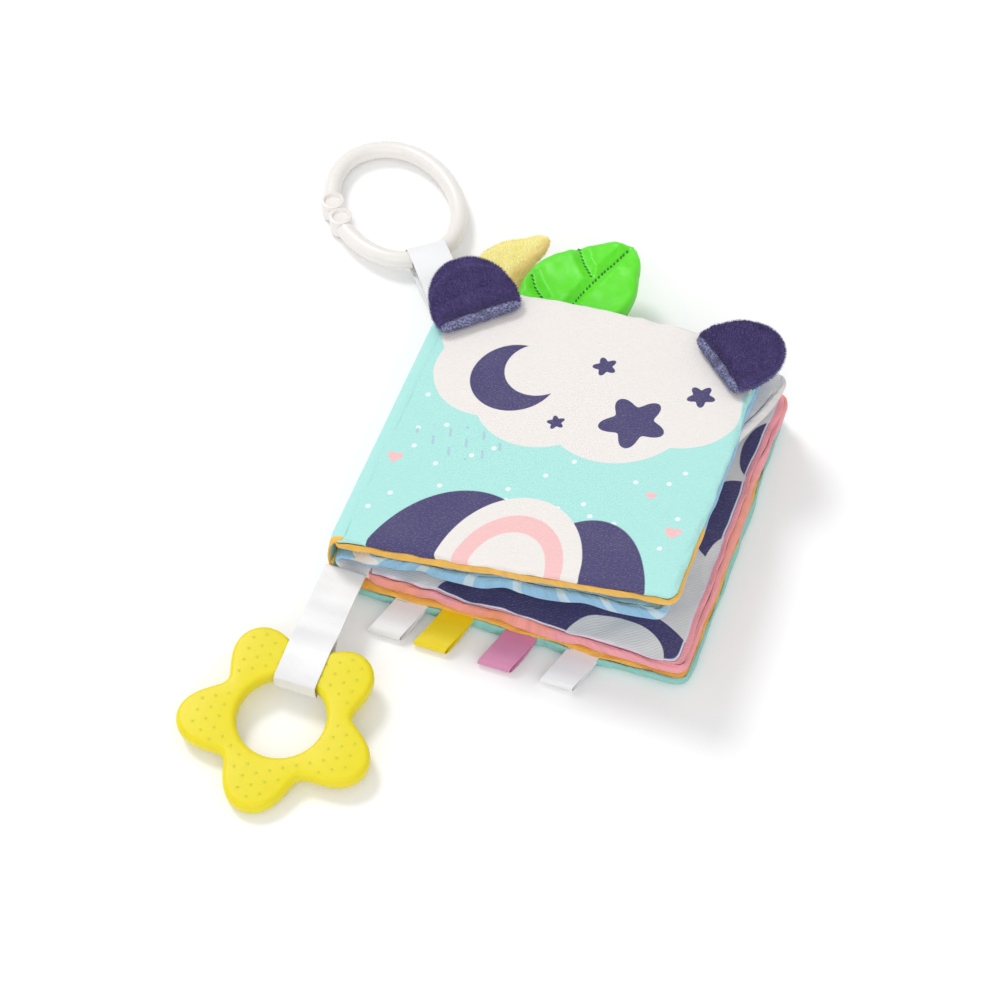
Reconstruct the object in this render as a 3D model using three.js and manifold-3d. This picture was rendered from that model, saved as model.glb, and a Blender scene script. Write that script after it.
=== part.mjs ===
import * as THREE from "three";
import { mergeVertices } from "three/addons/utils/BufferGeometryUtils.js";
import Module from "manifold-3d";

// A padded cloth book of four leaves for a baby, lying closed on its back cover.
// Millimetres. The origin is the centre of the back cover's flat underside.
// +X runs from the spine to the fore edge, +Y from the tail to the head, +Z up.

const wasm = await Module();
wasm.setup();

const degree = Math.PI / 180;

// Clearances
const touchGap = 0.3; // between pieces that touch on the real book
const leafGap = 0.6; // between two leaves that lie on each other

// Leaves
const bookHeight = 150;
const backCoverWidth = 150;
const frontCoverWidth = 148;
const secondLeafWidth = 134;
const thirdLeafWidth = 138;
const leafThickness = 8.6;
const leafCornerRadius = 9;
const leafFabric = 0.8;
const seamLip = 0.15; // half the height of the slit between a leaf's two fabrics
const hingeAllowance = 2; // bare cloth between a hinge line and the padded leaf
const coverSetback = 5; // how far the front cover's hinge stands outside the back cover
const gutterDepth = 9; // how far the inner leaves' hinges stand inside the back cover
const upperTilt = 7.5 * degree; // front cover and second leaf, at mid height
const upperTwist = 3 * degree; // added at the tail, taken off at the head
const thirdTilt = 1.5 * degree;
const filmThickness = 0.4;
const filmMargin = 12;
const filmCornerRadius = 6;

// Spine
const spineBulge = 6.2;
const spineFabric = 1.2;
const foldFabric = 1.2;
const seamThread = 1.2;

// Ears
const earWidth = 40;
const earHeight = 31;
const earThickness = 9;
const earPlush = 1;
const earCornerHeight = 4; // how tall the dome is at the ends of its base
const earInset = 24; // base centre from the cover's fore edge, for the fore side ear
const spineSideEarInset = 26.2; // the same from the hinge side, clear of the spine when the cover opens
const earDrop = 18; // base centre from the cover's head edge
const earBearing = 50 * degree;

// Flaps on the head edges
const flapWidth = 51;
const flapLength = 50.2;
const flapStart = 12; // from the second leaf's hinge line to the flap's spine side
const flapThickness = 3.2;
const flapSatin = 0.5;
const veinThread = 0.8;
const hornWidth = 20;
const hornLength = 52.2;
const hornStart = -7;
const hornThickness = 9;
const hornPlush = 1;

// Ribbons
const ribbonPly = 0.8;
const ribbonWidth = 18;
const ribbonRootRadius = 1;

// Link ring
const ringLength = 82;
const ringWidth = 62;
const ringTube = 8;
const ringSocketRadius = 5.2;
const ringSocketHeight = 9;
const ringSocketRecess = 2.2;
const ringSocketDepth = 1.5;
const ringSnapGap = 0.4;
const ringBearing = 141 * degree;
const ringSnapAngle = 76.5 * degree;
const ringEyeClearance = 1.7; // the curved tube needs it inside the straight ribbon eye
const ringRibbonBearing = 128.5 * degree;
const ringRibbonReach = 39;
const ringRibbonRootHeight = 7.5;

// Star teether
const starReach = 42.5;
const starNotch = 28.5;
const starHole = 18.3;
const starThickness = 7;
const starEdgeRound = 1.6;
const starLobes = 5;
const starLobeExponent = 0.8; // below 1 it broadens the lobes
const starStepsPerLobe = 12;
const teetherRibbonSetback = 1.8; // spine's fore side of the ribbon, from the back cover's edge
const teetherRibbonRootHeight = 16.5;
const teetherRibbonReach = 33;
const teetherHoleReach = 39; // from the ribbon's bend to the hole's centre
const starFloorGap = 0.2;

// Tag loops
const tagWidth = 14;
const tagLength = 15.5;
const tagRadius = 0.8;
const tagPly = 0.5;
const tagDrop = 16 * degree;
const tagLeanShare = 0.38;
const tagSeatShare = 0.45; // of half a leaf, above its seam
const tagPlaceShares = [-0.293, -0.16, 0.027, 0.207];
const tagNames = [
  "tag_loop_white_spine_side",
  "tag_loop_yellow",
  "tag_loop_mauve",
  "tag_loop_white_fore_side",
];
const tagColours = [0xf4f4f2, 0xf0d21c, 0xb5739b, 0xf4f4f2];

// Fineness of the round faces
const spineSteps = 14;
const foldSegments = 6;
const ribbonSegments = 8;
const ringSteps = 48;
const ringTubeSegments = 5;
const socketSides = 24;
const starHoleSegments = 18;
const starBevelSegments = 2;

// Colours of the fabrics and mouldings
const aqua = 0xaee9e4;
const amber = 0xf3bd4b;
const skyBlue = 0x9cd0ee;
const greyPrint = 0xd5d6dc;
const rosePink = 0xf2a3b3;
const teal = 0x9fdcd0;
const navyPlush = 0x45406a;
const periwinkle = 0x7d7fb0;
const leafGreen = 0x57c21f;
const paleYellow = 0xf7e189;
const satinWhite = 0xf3f3f3;
const ivory = 0xf1efe9;
const siliconeYellow = 0xe6d51f;
const foamWhite = 0xf5f3ea;
const filmGrey = 0xdfe3e6;
const darkThread = 0x2e7d1c;

// Derived heights and hinge lines
const halfHeight = bookHeight / 2;
const halfLeaf = leafThickness / 2;
const leafPitch = leafThickness + leafGap;
const spineX = -backCoverWidth / 2;
const coverHingeX = spineX - coverSetback;
const innerHingeX = spineX + gutterDepth;
const backMid = halfLeaf;
const thirdHingeZ = backMid + leafPitch;
const secondHingeZ = thirdHingeZ + leafPitch;
const headTilt = upperTilt - upperTwist;
const hingeSpread = innerHingeX - coverHingeX;
const coverHingeZ = secondHingeZ - hingeSpread * Math.tan(headTilt) + leafPitch / Math.cos(headTilt);
const flapRoot = halfHeight + touchGap;
const hingeBeadRadius = hingeAllowance - touchGap;

const root = new THREE.Group();

function material(colour, roughness = 0.9) {
  return new THREE.MeshStandardMaterial({ color: colour, roughness, metalness: 0 });
}

function add(parent, name, geometry, colour, roughness) {
  const mesh = new THREE.Mesh(geometry, material(colour, roughness));
  mesh.name = name;
  parent.add(mesh);
  return mesh;
}

// A closed surface between two grids of points with equal counts, the first one above.
function closedBetween(top, bottom) {
  const positions = [];
  const triangle = (a, b, c) => [a, b, c].forEach((p) => positions.push(p.x, p.y, p.z));
  const last = top.length - 1;
  const end = top[0].length - 1;
  for (let i = 0; i < last; i++) {
    for (let j = 0; j < end; j++) {
      triangle(top[i][j], top[i + 1][j], top[i + 1][j + 1]);
      triangle(top[i][j], top[i + 1][j + 1], top[i][j + 1]);
      triangle(bottom[i][j], bottom[i + 1][j + 1], bottom[i + 1][j]);
      triangle(bottom[i][j], bottom[i][j + 1], bottom[i + 1][j + 1]);
    }
  }
  const rim = [];
  for (let i = 0; i < last; i++) rim.push([i, 0]);
  for (let j = 0; j < end; j++) rim.push([last, j]);
  for (let i = last; i > 0; i--) rim.push([i, end]);
  for (let j = end; j > 0; j--) rim.push([0, j]);
  rim.forEach(([i, j], k) => {
    const [m, n] = rim[(k + 1) % rim.length];
    triangle(bottom[i][j], bottom[m][n], top[m][n]);
    triangle(bottom[i][j], top[m][n], top[i][j]);
  });
  const geometry = new THREE.BufferGeometry();
  geometry.setAttribute("position", new THREE.Float32BufferAttribute(positions, 3));
  geometry.computeVertexNormals();
  return geometry;
}

// A pad is described by its counts, a plan of points with an inset, a rise from seam to crown
// (0 to 1) and a place that puts a plan point at a height.
function padGrid(pad, inset, height) {
  return Array.from({ length: pad.columns }, (_, i) =>
    Array.from({ length: pad.rows }, (_, j) => pad.place(...pad.plan(i, j, inset), height(pad.rise(i, j)))),
  );
}

// One of a pad's two fabrics: an open tray whose rim meets the other fabric at the seam.
function padFabric(pad, side, crown, fabric) {
  const outer = padGrid(pad, 0, (rise) => side * (seamLip + (crown - seamLip) * rise));
  const inner = padGrid(pad, fabric, (rise) => side * (seamLip + (crown - seamLip - fabric) * rise));
  return side > 0 ? closedBetween(outer, inner) : closedBetween(inner, outer);
}

// What fills a pad, clear of its fabrics.
function padFilling(pad, crown, fabric) {
  const reach = crown - fabric - touchGap;
  const height = (rise) => seamLip + (reach - seamLip) * rise;
  const surface = (side) => padGrid(pad, fabric + touchGap, (rise) => side * height(rise));
  return closedBetween(surface(1), surface(-1));
}

// Lines across a leaf: close together at its rounded edges, and even between them.
function leafLines(half, radius, divisions) {
  const inner = half - radius;
  const lines = [-half, -half + radius / 3];
  for (let k = 0; k <= divisions; k++) lines.push(-inner + (2 * inner * k) / divisions);
  lines.push(half - radius / 3, half);
  return lines;
}

// A rectangular pad with rounded corners and edges, in plan coordinates about its own centre.
function leafPad(width, height, radius, divisions, place) {
  const xs = leafLines(width / 2, radius, divisions);
  const ys = leafLines(height / 2, radius, divisions);
  const beyond = (value, half) => Math.max(Math.abs(value) - (half - radius), 0);
  return {
    columns: xs.length,
    rows: ys.length,
    place,
    rise(i, j) {
      const edge = Math.max(beyond(xs[i], width / 2), beyond(ys[j], height / 2)) / radius;
      return Math.sqrt(Math.max(1 - edge * edge, 0));
    },
    plan(i, j, inset) {
      const keep = (radius - inset) / radius;
      const dx = beyond(xs[i], width / 2);
      const dy = beyond(ys[j], height / 2);
      let [ox, oy] = [dx, dy];
      if (dx > 0 && dy > 0) {
        const angle = dx >= dy ? (45 * degree * dy) / dx : 90 * degree - (45 * degree * dx) / dy;
        const reach = Math.max(dx, dy);
        [ox, oy] = [reach * Math.cos(angle), reach * Math.sin(angle)];
      }
      const clampTo = (value, half) => Math.sign(value) * Math.min(Math.abs(value), half - radius);
      return [
        clampTo(xs[i], width / 2) + Math.sign(xs[i]) * ox * keep,
        clampTo(ys[j], height / 2) + Math.sign(ys[j]) * oy * keep,
      ];
    },
  };
}

// Points of a leaf that twists about its hinge line: u from the hinge, v to the head, w above.
function twisted(twist) {
  return (u, v, w) => {
    const angle = (-twist * v) / halfHeight;
    const along = u * Math.cos(angle) - w * Math.sin(angle);
    const above = u * Math.sin(angle) + w * Math.cos(angle);
    return new THREE.Vector3(along, v, above);
  };
}

// A leaf: two fabrics, foam, and a crinkle film that lies on the foam. It starts at a distance
// from its hinge line, and each fabric has a name and a colour.
function addLeaf(parent, name, { width, first, point, divisions }, upper, lower) {
  const middle = first + width / 2;
  const place = (x, y, w) => point(x + middle, y, w);
  const pad = leafPad(width, bookHeight, leafCornerRadius, divisions, place);
  const foamCrown = halfLeaf - filmThickness - touchGap;
  add(parent, name + upper.name, padFabric(pad, 1, halfLeaf, leafFabric), upper.colour);
  add(parent, name + lower.name, padFabric(pad, -1, halfLeaf, leafFabric), lower.colour);
  add(parent, name + "_foam", padFilling(pad, foamCrown, leafFabric), foamWhite);
  const filmWidth = width - 2 * filmMargin;
  const filmHeight = bookHeight - 2 * filmMargin;
  const filmPad = leafPad(filmWidth, filmHeight, filmCornerRadius, divisions, place);
  const filmTop = halfLeaf - leafFabric - touchGap;
  const film = closedBetween(
    padGrid(filmPad, 0, () => filmTop),
    padGrid(filmPad, 0, () => filmTop - filmThickness),
  );
  add(parent, name + "_crinkle_film", film, filmGrey, 0.4);
}

// A pad whose outline is a table of rows: share of the length, then the two sides as shares of
// the width. It lies in plan from a start along u, with its root beyond the leaf's head edge.
function outlinePad(rowsShares, alongRiseShares, { start, width, length, place }) {
  return {
    columns: acrossShares.length,
    rows: rowsShares.length,
    place,
    rise: (i, j) => Math.min(acrossRiseShares[i], alongRiseShares[j]),
    plan(i, j, inset) {
      const [along, low, high] = rowsShares[j];
      const sideInset = Math.min(inset, ((high - low) * width) / 4);
      const left = low * width + sideInset;
      const right = high * width - sideInset;
      const endInset = inset * (1 - 2 * along);
      return [start + left + (right - left) * acrossShares[i], flapRoot + length * along + endInset];
    },
  };
}

const acrossShares = [0, 0.12, 0.35, 0.65, 0.88, 1];
const acrossRiseShares = [0, 0.7, 1, 1, 0.7, 0];

// Back cover
const backPoint = (u, v, w) => new THREE.Vector3(u, v, w + backMid);
addLeaf(
  root,
  "back_cover",
  { width: backCoverWidth, first: spineX, point: backPoint, divisions: 1 },
  { name: "_lining", colour: amber },
  { name: "_outer_fabric", colour: teal },
);

// Front cover
const cover = new THREE.Group();
cover.position.set(coverHingeX, 0, coverHingeZ);
cover.rotation.y = -upperTilt;
root.add(cover);
const coverPoint = twisted(upperTwist);
addLeaf(
  cover,
  "front_cover",
  { width: frontCoverWidth, first: hingeAllowance, point: coverPoint, divisions: 4 },
  { name: "_printed_face", colour: aqua },
  { name: "_lining", colour: amber },
);

// Second leaf
const second = new THREE.Group();
second.position.set(innerHingeX, 0, secondHingeZ);
second.rotation.y = -upperTilt;
root.add(second);
const secondPoint = twisted(upperTwist);
addLeaf(
  second,
  "second_leaf",
  { width: secondLeafWidth, first: hingeAllowance, point: secondPoint, divisions: 4 },
  { name: "_upper_fabric", colour: greyPrint },
  { name: "_lower_fabric", colour: skyBlue },
);

// Third leaf
const third = new THREE.Group();
third.position.set(innerHingeX, 0, thirdHingeZ);
third.rotation.y = -thirdTilt;
root.add(third);
const thirdPoint = twisted(0);
addLeaf(
  third,
  "third_leaf",
  { width: thirdLeafWidth, first: hingeAllowance, point: thirdPoint, divisions: 1 },
  { name: "_upper_fabric", colour: greyPrint },
  { name: "_lower_fabric", colour: rosePink },
);

// Spine: an outer band from the back cover up to the front cover's hinge line, the inner
// leaves' fold, and the seam thread between them. A bead runs along each hinge line.
const spineFace = spineX - touchGap;
const spineEndAngle = Math.acos((spineFace - coverHingeX) / spineBulge);
const spineRise = (coverHingeZ - backMid) / (1 + Math.sin(spineEndAngle));
const spineMiddle = backMid + spineRise;

// How far out the band's face stands at a height, with an inset.
function spineFaceAt(height, inset) {
  const lean = Math.asin((height - spineMiddle) / spineRise);
  return spineFace - (spineBulge - inset) * Math.cos(lean);
}

function addSpine() {
  const arcPoint = (k, inset) => {
    const angle = -90 * degree + ((spineEndAngle + 90 * degree) * k) / spineSteps;
    const bulge = (spineBulge - inset) * Math.cos(angle);
    return new THREE.Vector2(spineFace - bulge, spineMiddle + (spineRise - inset) * Math.sin(angle));
  };
  const outline = [];
  for (let k = 0; k <= spineSteps; k++) outline.push(arcPoint(k, 0));
  for (let k = spineSteps; k >= 0; k--) outline.push(arcPoint(k, spineFabric));
  const band = solidAlongBook(new THREE.Shape(outline));
  add(root, "spine_fabric", geometryOf(band.add(hingeBead(coverHingeX, coverHingeZ))), aqua);

  const foldMiddle = (thirdHingeZ + secondHingeZ) / 2;
  const foldHalf = (secondHingeZ - thirdHingeZ) / 2;
  const outer = foldHalf + foldFabric / 2;
  const inner = foldHalf - foldFabric / 2;
  const threadX = spineFaceAt(foldMiddle, spineFabric) + touchGap + seamThread / 2;
  const foldX = threadX + seamThread / 2 + touchGap + outer;
  const fold = new THREE.Shape();
  fold.moveTo(innerHingeX, foldMiddle + outer);
  fold.lineTo(foldX, foldMiddle + outer);
  fold.absarc(foldX, foldMiddle, outer, 90 * degree, 270 * degree, false);
  fold.lineTo(innerHingeX, foldMiddle - outer);
  fold.lineTo(innerHingeX, foldMiddle - inner);
  fold.lineTo(foldX, foldMiddle - inner);
  fold.absarc(foldX, foldMiddle, inner, 270 * degree, 90 * degree, true);
  fold.lineTo(innerHingeX, foldMiddle + inner);
  const beads = [thirdHingeZ, secondHingeZ].map((height) => hingeBead(innerHingeX, height));
  add(root, "gutter_fold", geometryOf(solidAlongBook(fold).add(beads[0]).add(beads[1])), skyBlue);

  const thread = new THREE.Shape();
  thread.absarc(threadX, foldMiddle, seamThread / 2, 0, 360 * degree, false);
  add(root, "spine_seam_thread", geometryOf(solidAlongBook(thread)), amber);
}

// A section in X and Z, extruded along Y over the book's height.
function solidAlongBook(shape) {
  const options = { depth: bookHeight, bevelEnabled: false, curveSegments: foldSegments };
  const geometry = new THREE.ExtrudeGeometry(shape, options);
  geometry.rotateX(90 * degree);
  geometry.translate(0, halfHeight, 0);
  return solidOf(geometry);
}

// The rolled seam allowance that a leaf turns about.
function hingeBead(x, height) {
  const section = new THREE.Shape();
  section.absarc(x, height, hingeBeadRadius, 0, 360 * degree, false);
  return solidAlongBook(section);
}

// A solid for joining and cutting, from a geometry, and back again.
function solidOf(geometry) {
  const plain = new THREE.BufferGeometry();
  plain.setAttribute("position", geometry.getAttribute("position"));
  if (geometry.index) plain.setIndex(geometry.index);
  const merged = mergeVertices(plain);
  const triVerts = new Uint32Array(merged.index.array);
  const vertProperties = merged.attributes.position.array;
  return new wasm.Manifold(new wasm.Mesh({ numProp: 3, vertProperties, triVerts }));
}

function geometryOf(solid) {
  const mesh = solid.getMesh();
  const geometry = new THREE.BufferGeometry();
  geometry.setAttribute("position", new THREE.BufferAttribute(mesh.vertProperties, 3));
  geometry.setIndex(new THREE.BufferAttribute(mesh.triVerts, 1));
  geometry.computeVertexNormals();
  return geometry;
}

addSpine();

// Ears: padded domes that lie over the front cover's two head corners, sewn along their base.
function addEar(name, side, inset) {
  const middle = hingeAllowance + frontCoverWidth / 2;
  const centre = middle + side * (frontCoverWidth / 2 - inset);
  const line = halfHeight - earDrop;
  const bearing = side > 0 ? earBearing : 180 * degree - earBearing;
  const lift = halfLeaf + touchGap + earThickness / 2;
  const columnShares = [-1, -0.93, -0.75, -0.4, 0, 0.4, 0.75, 0.93, 1];
  const rowShares = [0, 0.12, 0.45, 0.78, 0.93, 1];
  const columnRiseShares = [0, 0.55, 0.9, 1, 1, 1, 0.9, 0.55, 0];
  const rowRiseShares = [0, 0.75, 1, 0.9, 0.6, 0];
  const pad = {
    columns: columnShares.length,
    rows: rowShares.length,
    rise: (i, j) => Math.min(columnRiseShares[i], rowRiseShares[j]),
    plan(i, j, margin) {
      const across = columnShares[i];
      const dome = earCornerHeight + (earHeight - earCornerHeight) * Math.sqrt(1 - across * across);
      const x = across * (earWidth / 2 - margin);
      return [x, margin + (dome - 2 * margin) * rowShares[j]];
    },
    place(x, y, w) {
      const u = centre + y * Math.cos(bearing) + x * Math.sin(bearing);
      const v = line + y * Math.sin(bearing) - x * Math.cos(bearing);
      return coverPoint(u, v, w + lift);
    },
  };
  add(cover, name + "_front_plush", padFabric(pad, 1, earThickness / 2, earPlush), navyPlush);
  add(cover, name + "_back_plush", padFabric(pad, -1, earThickness / 2, earPlush), periwinkle);
  add(cover, name + "_stuffing", padFilling(pad, earThickness / 2, earPlush), foamWhite);
}

addEar("spine_side_ear", -1, spineSideEarInset);
addEar("fore_side_ear", 1, earInset);

// Leaf flap: two layers of satin with thin wadding, in the second leaf's head seam.
const flapShares = [
  [0, 0.08, 0.92],
  [0.06, 0.05, 0.95],
  [0.22, 0, 0.99],
  [0.45, 0.05, 1],
  [0.62, 0.16, 0.97],
  [0.8, 0.35, 0.93],
  [0.94, 0.58, 0.86],
  [1, 0.68, 0.8],
];
const flapRiseShares = [0, 0.7, 1, 1, 1, 1, 0.7, 0];
const flapPlan = { start: flapStart, width: flapWidth, length: flapLength, place: secondPoint };
const flapPad = outlinePad(flapShares, flapRiseShares, flapPlan);
add(second, "leaf_flap_front_satin", padFabric(flapPad, 1, flapThickness / 2, flapSatin), leafGreen, 0.5);
add(second, "leaf_flap_back_satin", padFabric(flapPad, -1, flapThickness / 2, flapSatin), leafGreen, 0.5);
add(second, "leaf_flap_wadding", padFilling(flapPad, flapThickness / 2, flapSatin), foamWhite);

// The stitched midrib lies on the flap from near its root to near its tip.
function addVein() {
  const rows = flapShares.slice(2, -1);
  const base = flapThickness / 2 + touchGap;
  const strip = (w) =>
    [-1, 1].map((side) =>
      rows.map(([along, low, high]) => {
        const u = flapStart + ((low + high) / 2) * flapWidth + (side * veinThread) / 2;
        return secondPoint(u, flapRoot + along * flapLength, w);
      }),
    );
  add(second, "leaf_flap_vein_thread", closedBetween(strip(base + veinThread), strip(base)), darkThread);
}

addVein();

// Horn: a curved plush taper in the third leaf's head seam.
const hornShares = [
  [0, 0.28, 0.88],
  [0.08, 0.2, 0.88],
  [0.22, 0.08, 0.86],
  [0.42, 0, 0.84],
  [0.6, 0.02, 0.88],
  [0.72, 0.12, 0.93],
  [0.84, 0.34, 1],
  [0.94, 0.62, 1.02],
  [1, 0.84, 1],
];
const hornRiseShares = [0, 0.6, 0.9, 1, 1, 1, 0.8, 0.5, 0];
const hornPlan = { start: hornStart, width: hornWidth, length: hornLength, place: thirdPoint };
const hornPad = outlinePad(hornShares, hornRiseShares, hornPlan);
add(third, "horn_front_plush", padFabric(hornPad, 1, hornThickness / 2, hornPlush), paleYellow);
add(third, "horn_back_plush", padFabric(hornPad, -1, hornThickness / 2, hornPlush), paleYellow);
add(third, "horn_stuffing", padFilling(hornPad, hornThickness / 2, hornPlush), foamWhite);

// A frame for a ribbon: its X along the ribbon, Y above it, Z across it.
function ribbonFrame(origin, bearing, drop) {
  const along = new THREE.Vector3(
    Math.cos(bearing) * Math.cos(drop),
    Math.sin(bearing) * Math.cos(drop),
    -Math.sin(drop),
  );
  const across = new THREE.Vector3(Math.sin(bearing), -Math.cos(bearing), 0);
  const above = new THREE.Vector3().crossVectors(across, along);
  const group = new THREE.Group();
  group.applyMatrix4(new THREE.Matrix4().makeBasis(along, above, across).setPosition(origin));
  return group;
}

// A side view of a ribbon, extruded over its width.
function ribbonGeometry(shape, width) {
  const options = { depth: width, bevelEnabled: false, curveSegments: ribbonSegments };
  const geometry = new THREE.ExtrudeGeometry(shape, options);
  geometry.translate(0, 0, -width / 2);
  return geometry;
}

// A folded ribbon in side view: a round root at the origin and a round eye at the reach.
function eyeShape(reach, eye, rootRadius, ply) {
  const flare = Math.asin((eye + ply - rootRadius) / reach);
  const turn = 90 * degree + flare;
  const shape = new THREE.Shape();
  shape.absarc(0, 0, rootRadius, turn, 360 * degree - turn, false);
  shape.absarc(reach, 0, eye + ply, -turn, turn, false);
  const hole = new THREE.Path();
  const throat = reach - (reach * eye) / (eye + ply);
  hole.moveTo(throat, 0);
  hole.lineTo(reach + eye * Math.cos(turn), eye * Math.sin(turn));
  hole.absarc(reach, 0, eye, turn, -turn, true);
  hole.closePath();
  shape.holes.push(hole);
  return shape;
}

// Link ring on its ribbon, laid flat behind the spine's head corner.
function addRing() {
  const eye = ringTube / 2 + ringEyeClearance;
  const eyeHeight = eye + ribbonPly + touchGap;
  const drop = Math.asin((ringRibbonRootHeight - eyeHeight) / ringRibbonReach);
  const outward = new THREE.Vector3(Math.cos(ringRibbonBearing), Math.sin(ringRibbonBearing), 0);
  const cornerX = spineFaceAt(ringRibbonRootHeight + ribbonRootRadius, 0);
  const corner = new THREE.Vector3(cornerX, halfHeight, ringRibbonRootHeight);
  const rootPlace = corner.clone().addScaledVector(outward, ribbonRootRadius + touchGap);
  const ribbon = ribbonFrame(rootPlace, ringRibbonBearing, drop);
  root.add(ribbon);
  const shape = eyeShape(ringRibbonReach, eye, ribbonRootRadius, ribbonPly);
  add(ribbon, "ring_ribbon", ribbonGeometry(shape, ribbonWidth), satinWhite, 0.4);

  const halfLong = (ringLength - ringTube) / 2;
  const halfShort = (ringWidth - ringTube) / 2;
  const facing = ringRibbonBearing + 180 * degree - ringBearing;
  const contact = Math.atan2(halfShort * Math.sin(facing), halfLong * Math.cos(facing));
  const speed = (angle) => Math.hypot(halfLong * Math.sin(angle), halfShort * Math.cos(angle));
  const pointAt = (angle) => new THREE.Vector3(halfLong * Math.cos(angle), halfShort * Math.sin(angle), 0);
  const halfGap = (ringSocketRadius + ringSnapGap / 2) / speed(ringSnapAngle);
  const start = ringSnapAngle + halfGap;
  const sweep = 360 * degree - 2 * halfGap;
  class RingPath extends THREE.Curve {
    getPoint(t, target = new THREE.Vector3()) {
      return target.copy(pointAt(start + sweep * t));
    }
  }
  const section = new THREE.Shape();
  section.absarc(0, 0, ringTube / 2, 0, 360 * degree, false);
  const options = { steps: ringSteps, extrudePath: new RingPath(), curveSegments: ringTubeSegments };
  const tube = new THREE.ExtrudeGeometry(section, options);
  let ring = solidOf(tube);
  [start, start + sweep].forEach((angle) => {
    const place = pointAt(angle);
    ring = ring.add(solidOf(socketDisc(ringSocketRadius, ringSocketHeight, 0, place)));
    const cutHeight = ringSocketDepth + touchGap;
    const cutMiddle = ringSocketHeight / 2 - ringSocketDepth + cutHeight / 2;
    ring = ring.subtract(solidOf(socketDisc(ringSocketRecess, cutHeight, cutMiddle, place)));
  });
  const geometry = geometryOf(ring);
  const sagitta = (ribbonWidth / 2) ** 2 / (2 * (speed(contact) ** 3 / (halfLong * halfShort)));
  const contactPoint = pointAt(contact);
  geometry.translate(-contactPoint.x, -contactPoint.y, 0);
  const far = halfLong - contactPoint.x;
  const dip = Math.asin((eyeHeight - ringTube / 2 - touchGap) / far);
  const holder = new THREE.Group();
  const seat = outward.clone().multiplyScalar(ringRibbonReach * Math.cos(drop) - sagitta / 2);
  holder.position.copy(rootPlace).add(seat).setZ(eyeHeight);
  holder.rotation.z = ringBearing;
  const tilter = new THREE.Group();
  tilter.rotation.y = dip;
  holder.add(tilter);
  root.add(holder);
  add(tilter, "link_ring", geometry, ivory, 0.35);
}

function socketDisc(radius, height, middle, place) {
  const disc = new THREE.CylinderGeometry(radius, radius, height, socketSides);
  disc.rotateX(90 * degree);
  disc.translate(place.x, place.y, middle);
  return disc;
}

addRing();

// The star's outline: its first lobe is at angle 0.
function starRadius(angle) {
  const swell = ((1 + Math.cos(starLobes * angle)) / 2) ** starLobeExponent;
  return starNotch + (starReach - starNotch) * swell;
}

// How far the star reaches towards the book within half a ribbon's width of its middle.
function starShoulder(halfWidth) {
  let reach = starNotch;
  for (let angle = 0; starRadius(180 * degree + angle) * Math.sin(angle) < halfWidth; angle += degree) {
    reach = Math.max(reach, starRadius(180 * degree + angle) * Math.cos(angle));
  }
  return reach + starEdgeRound;
}

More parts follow.
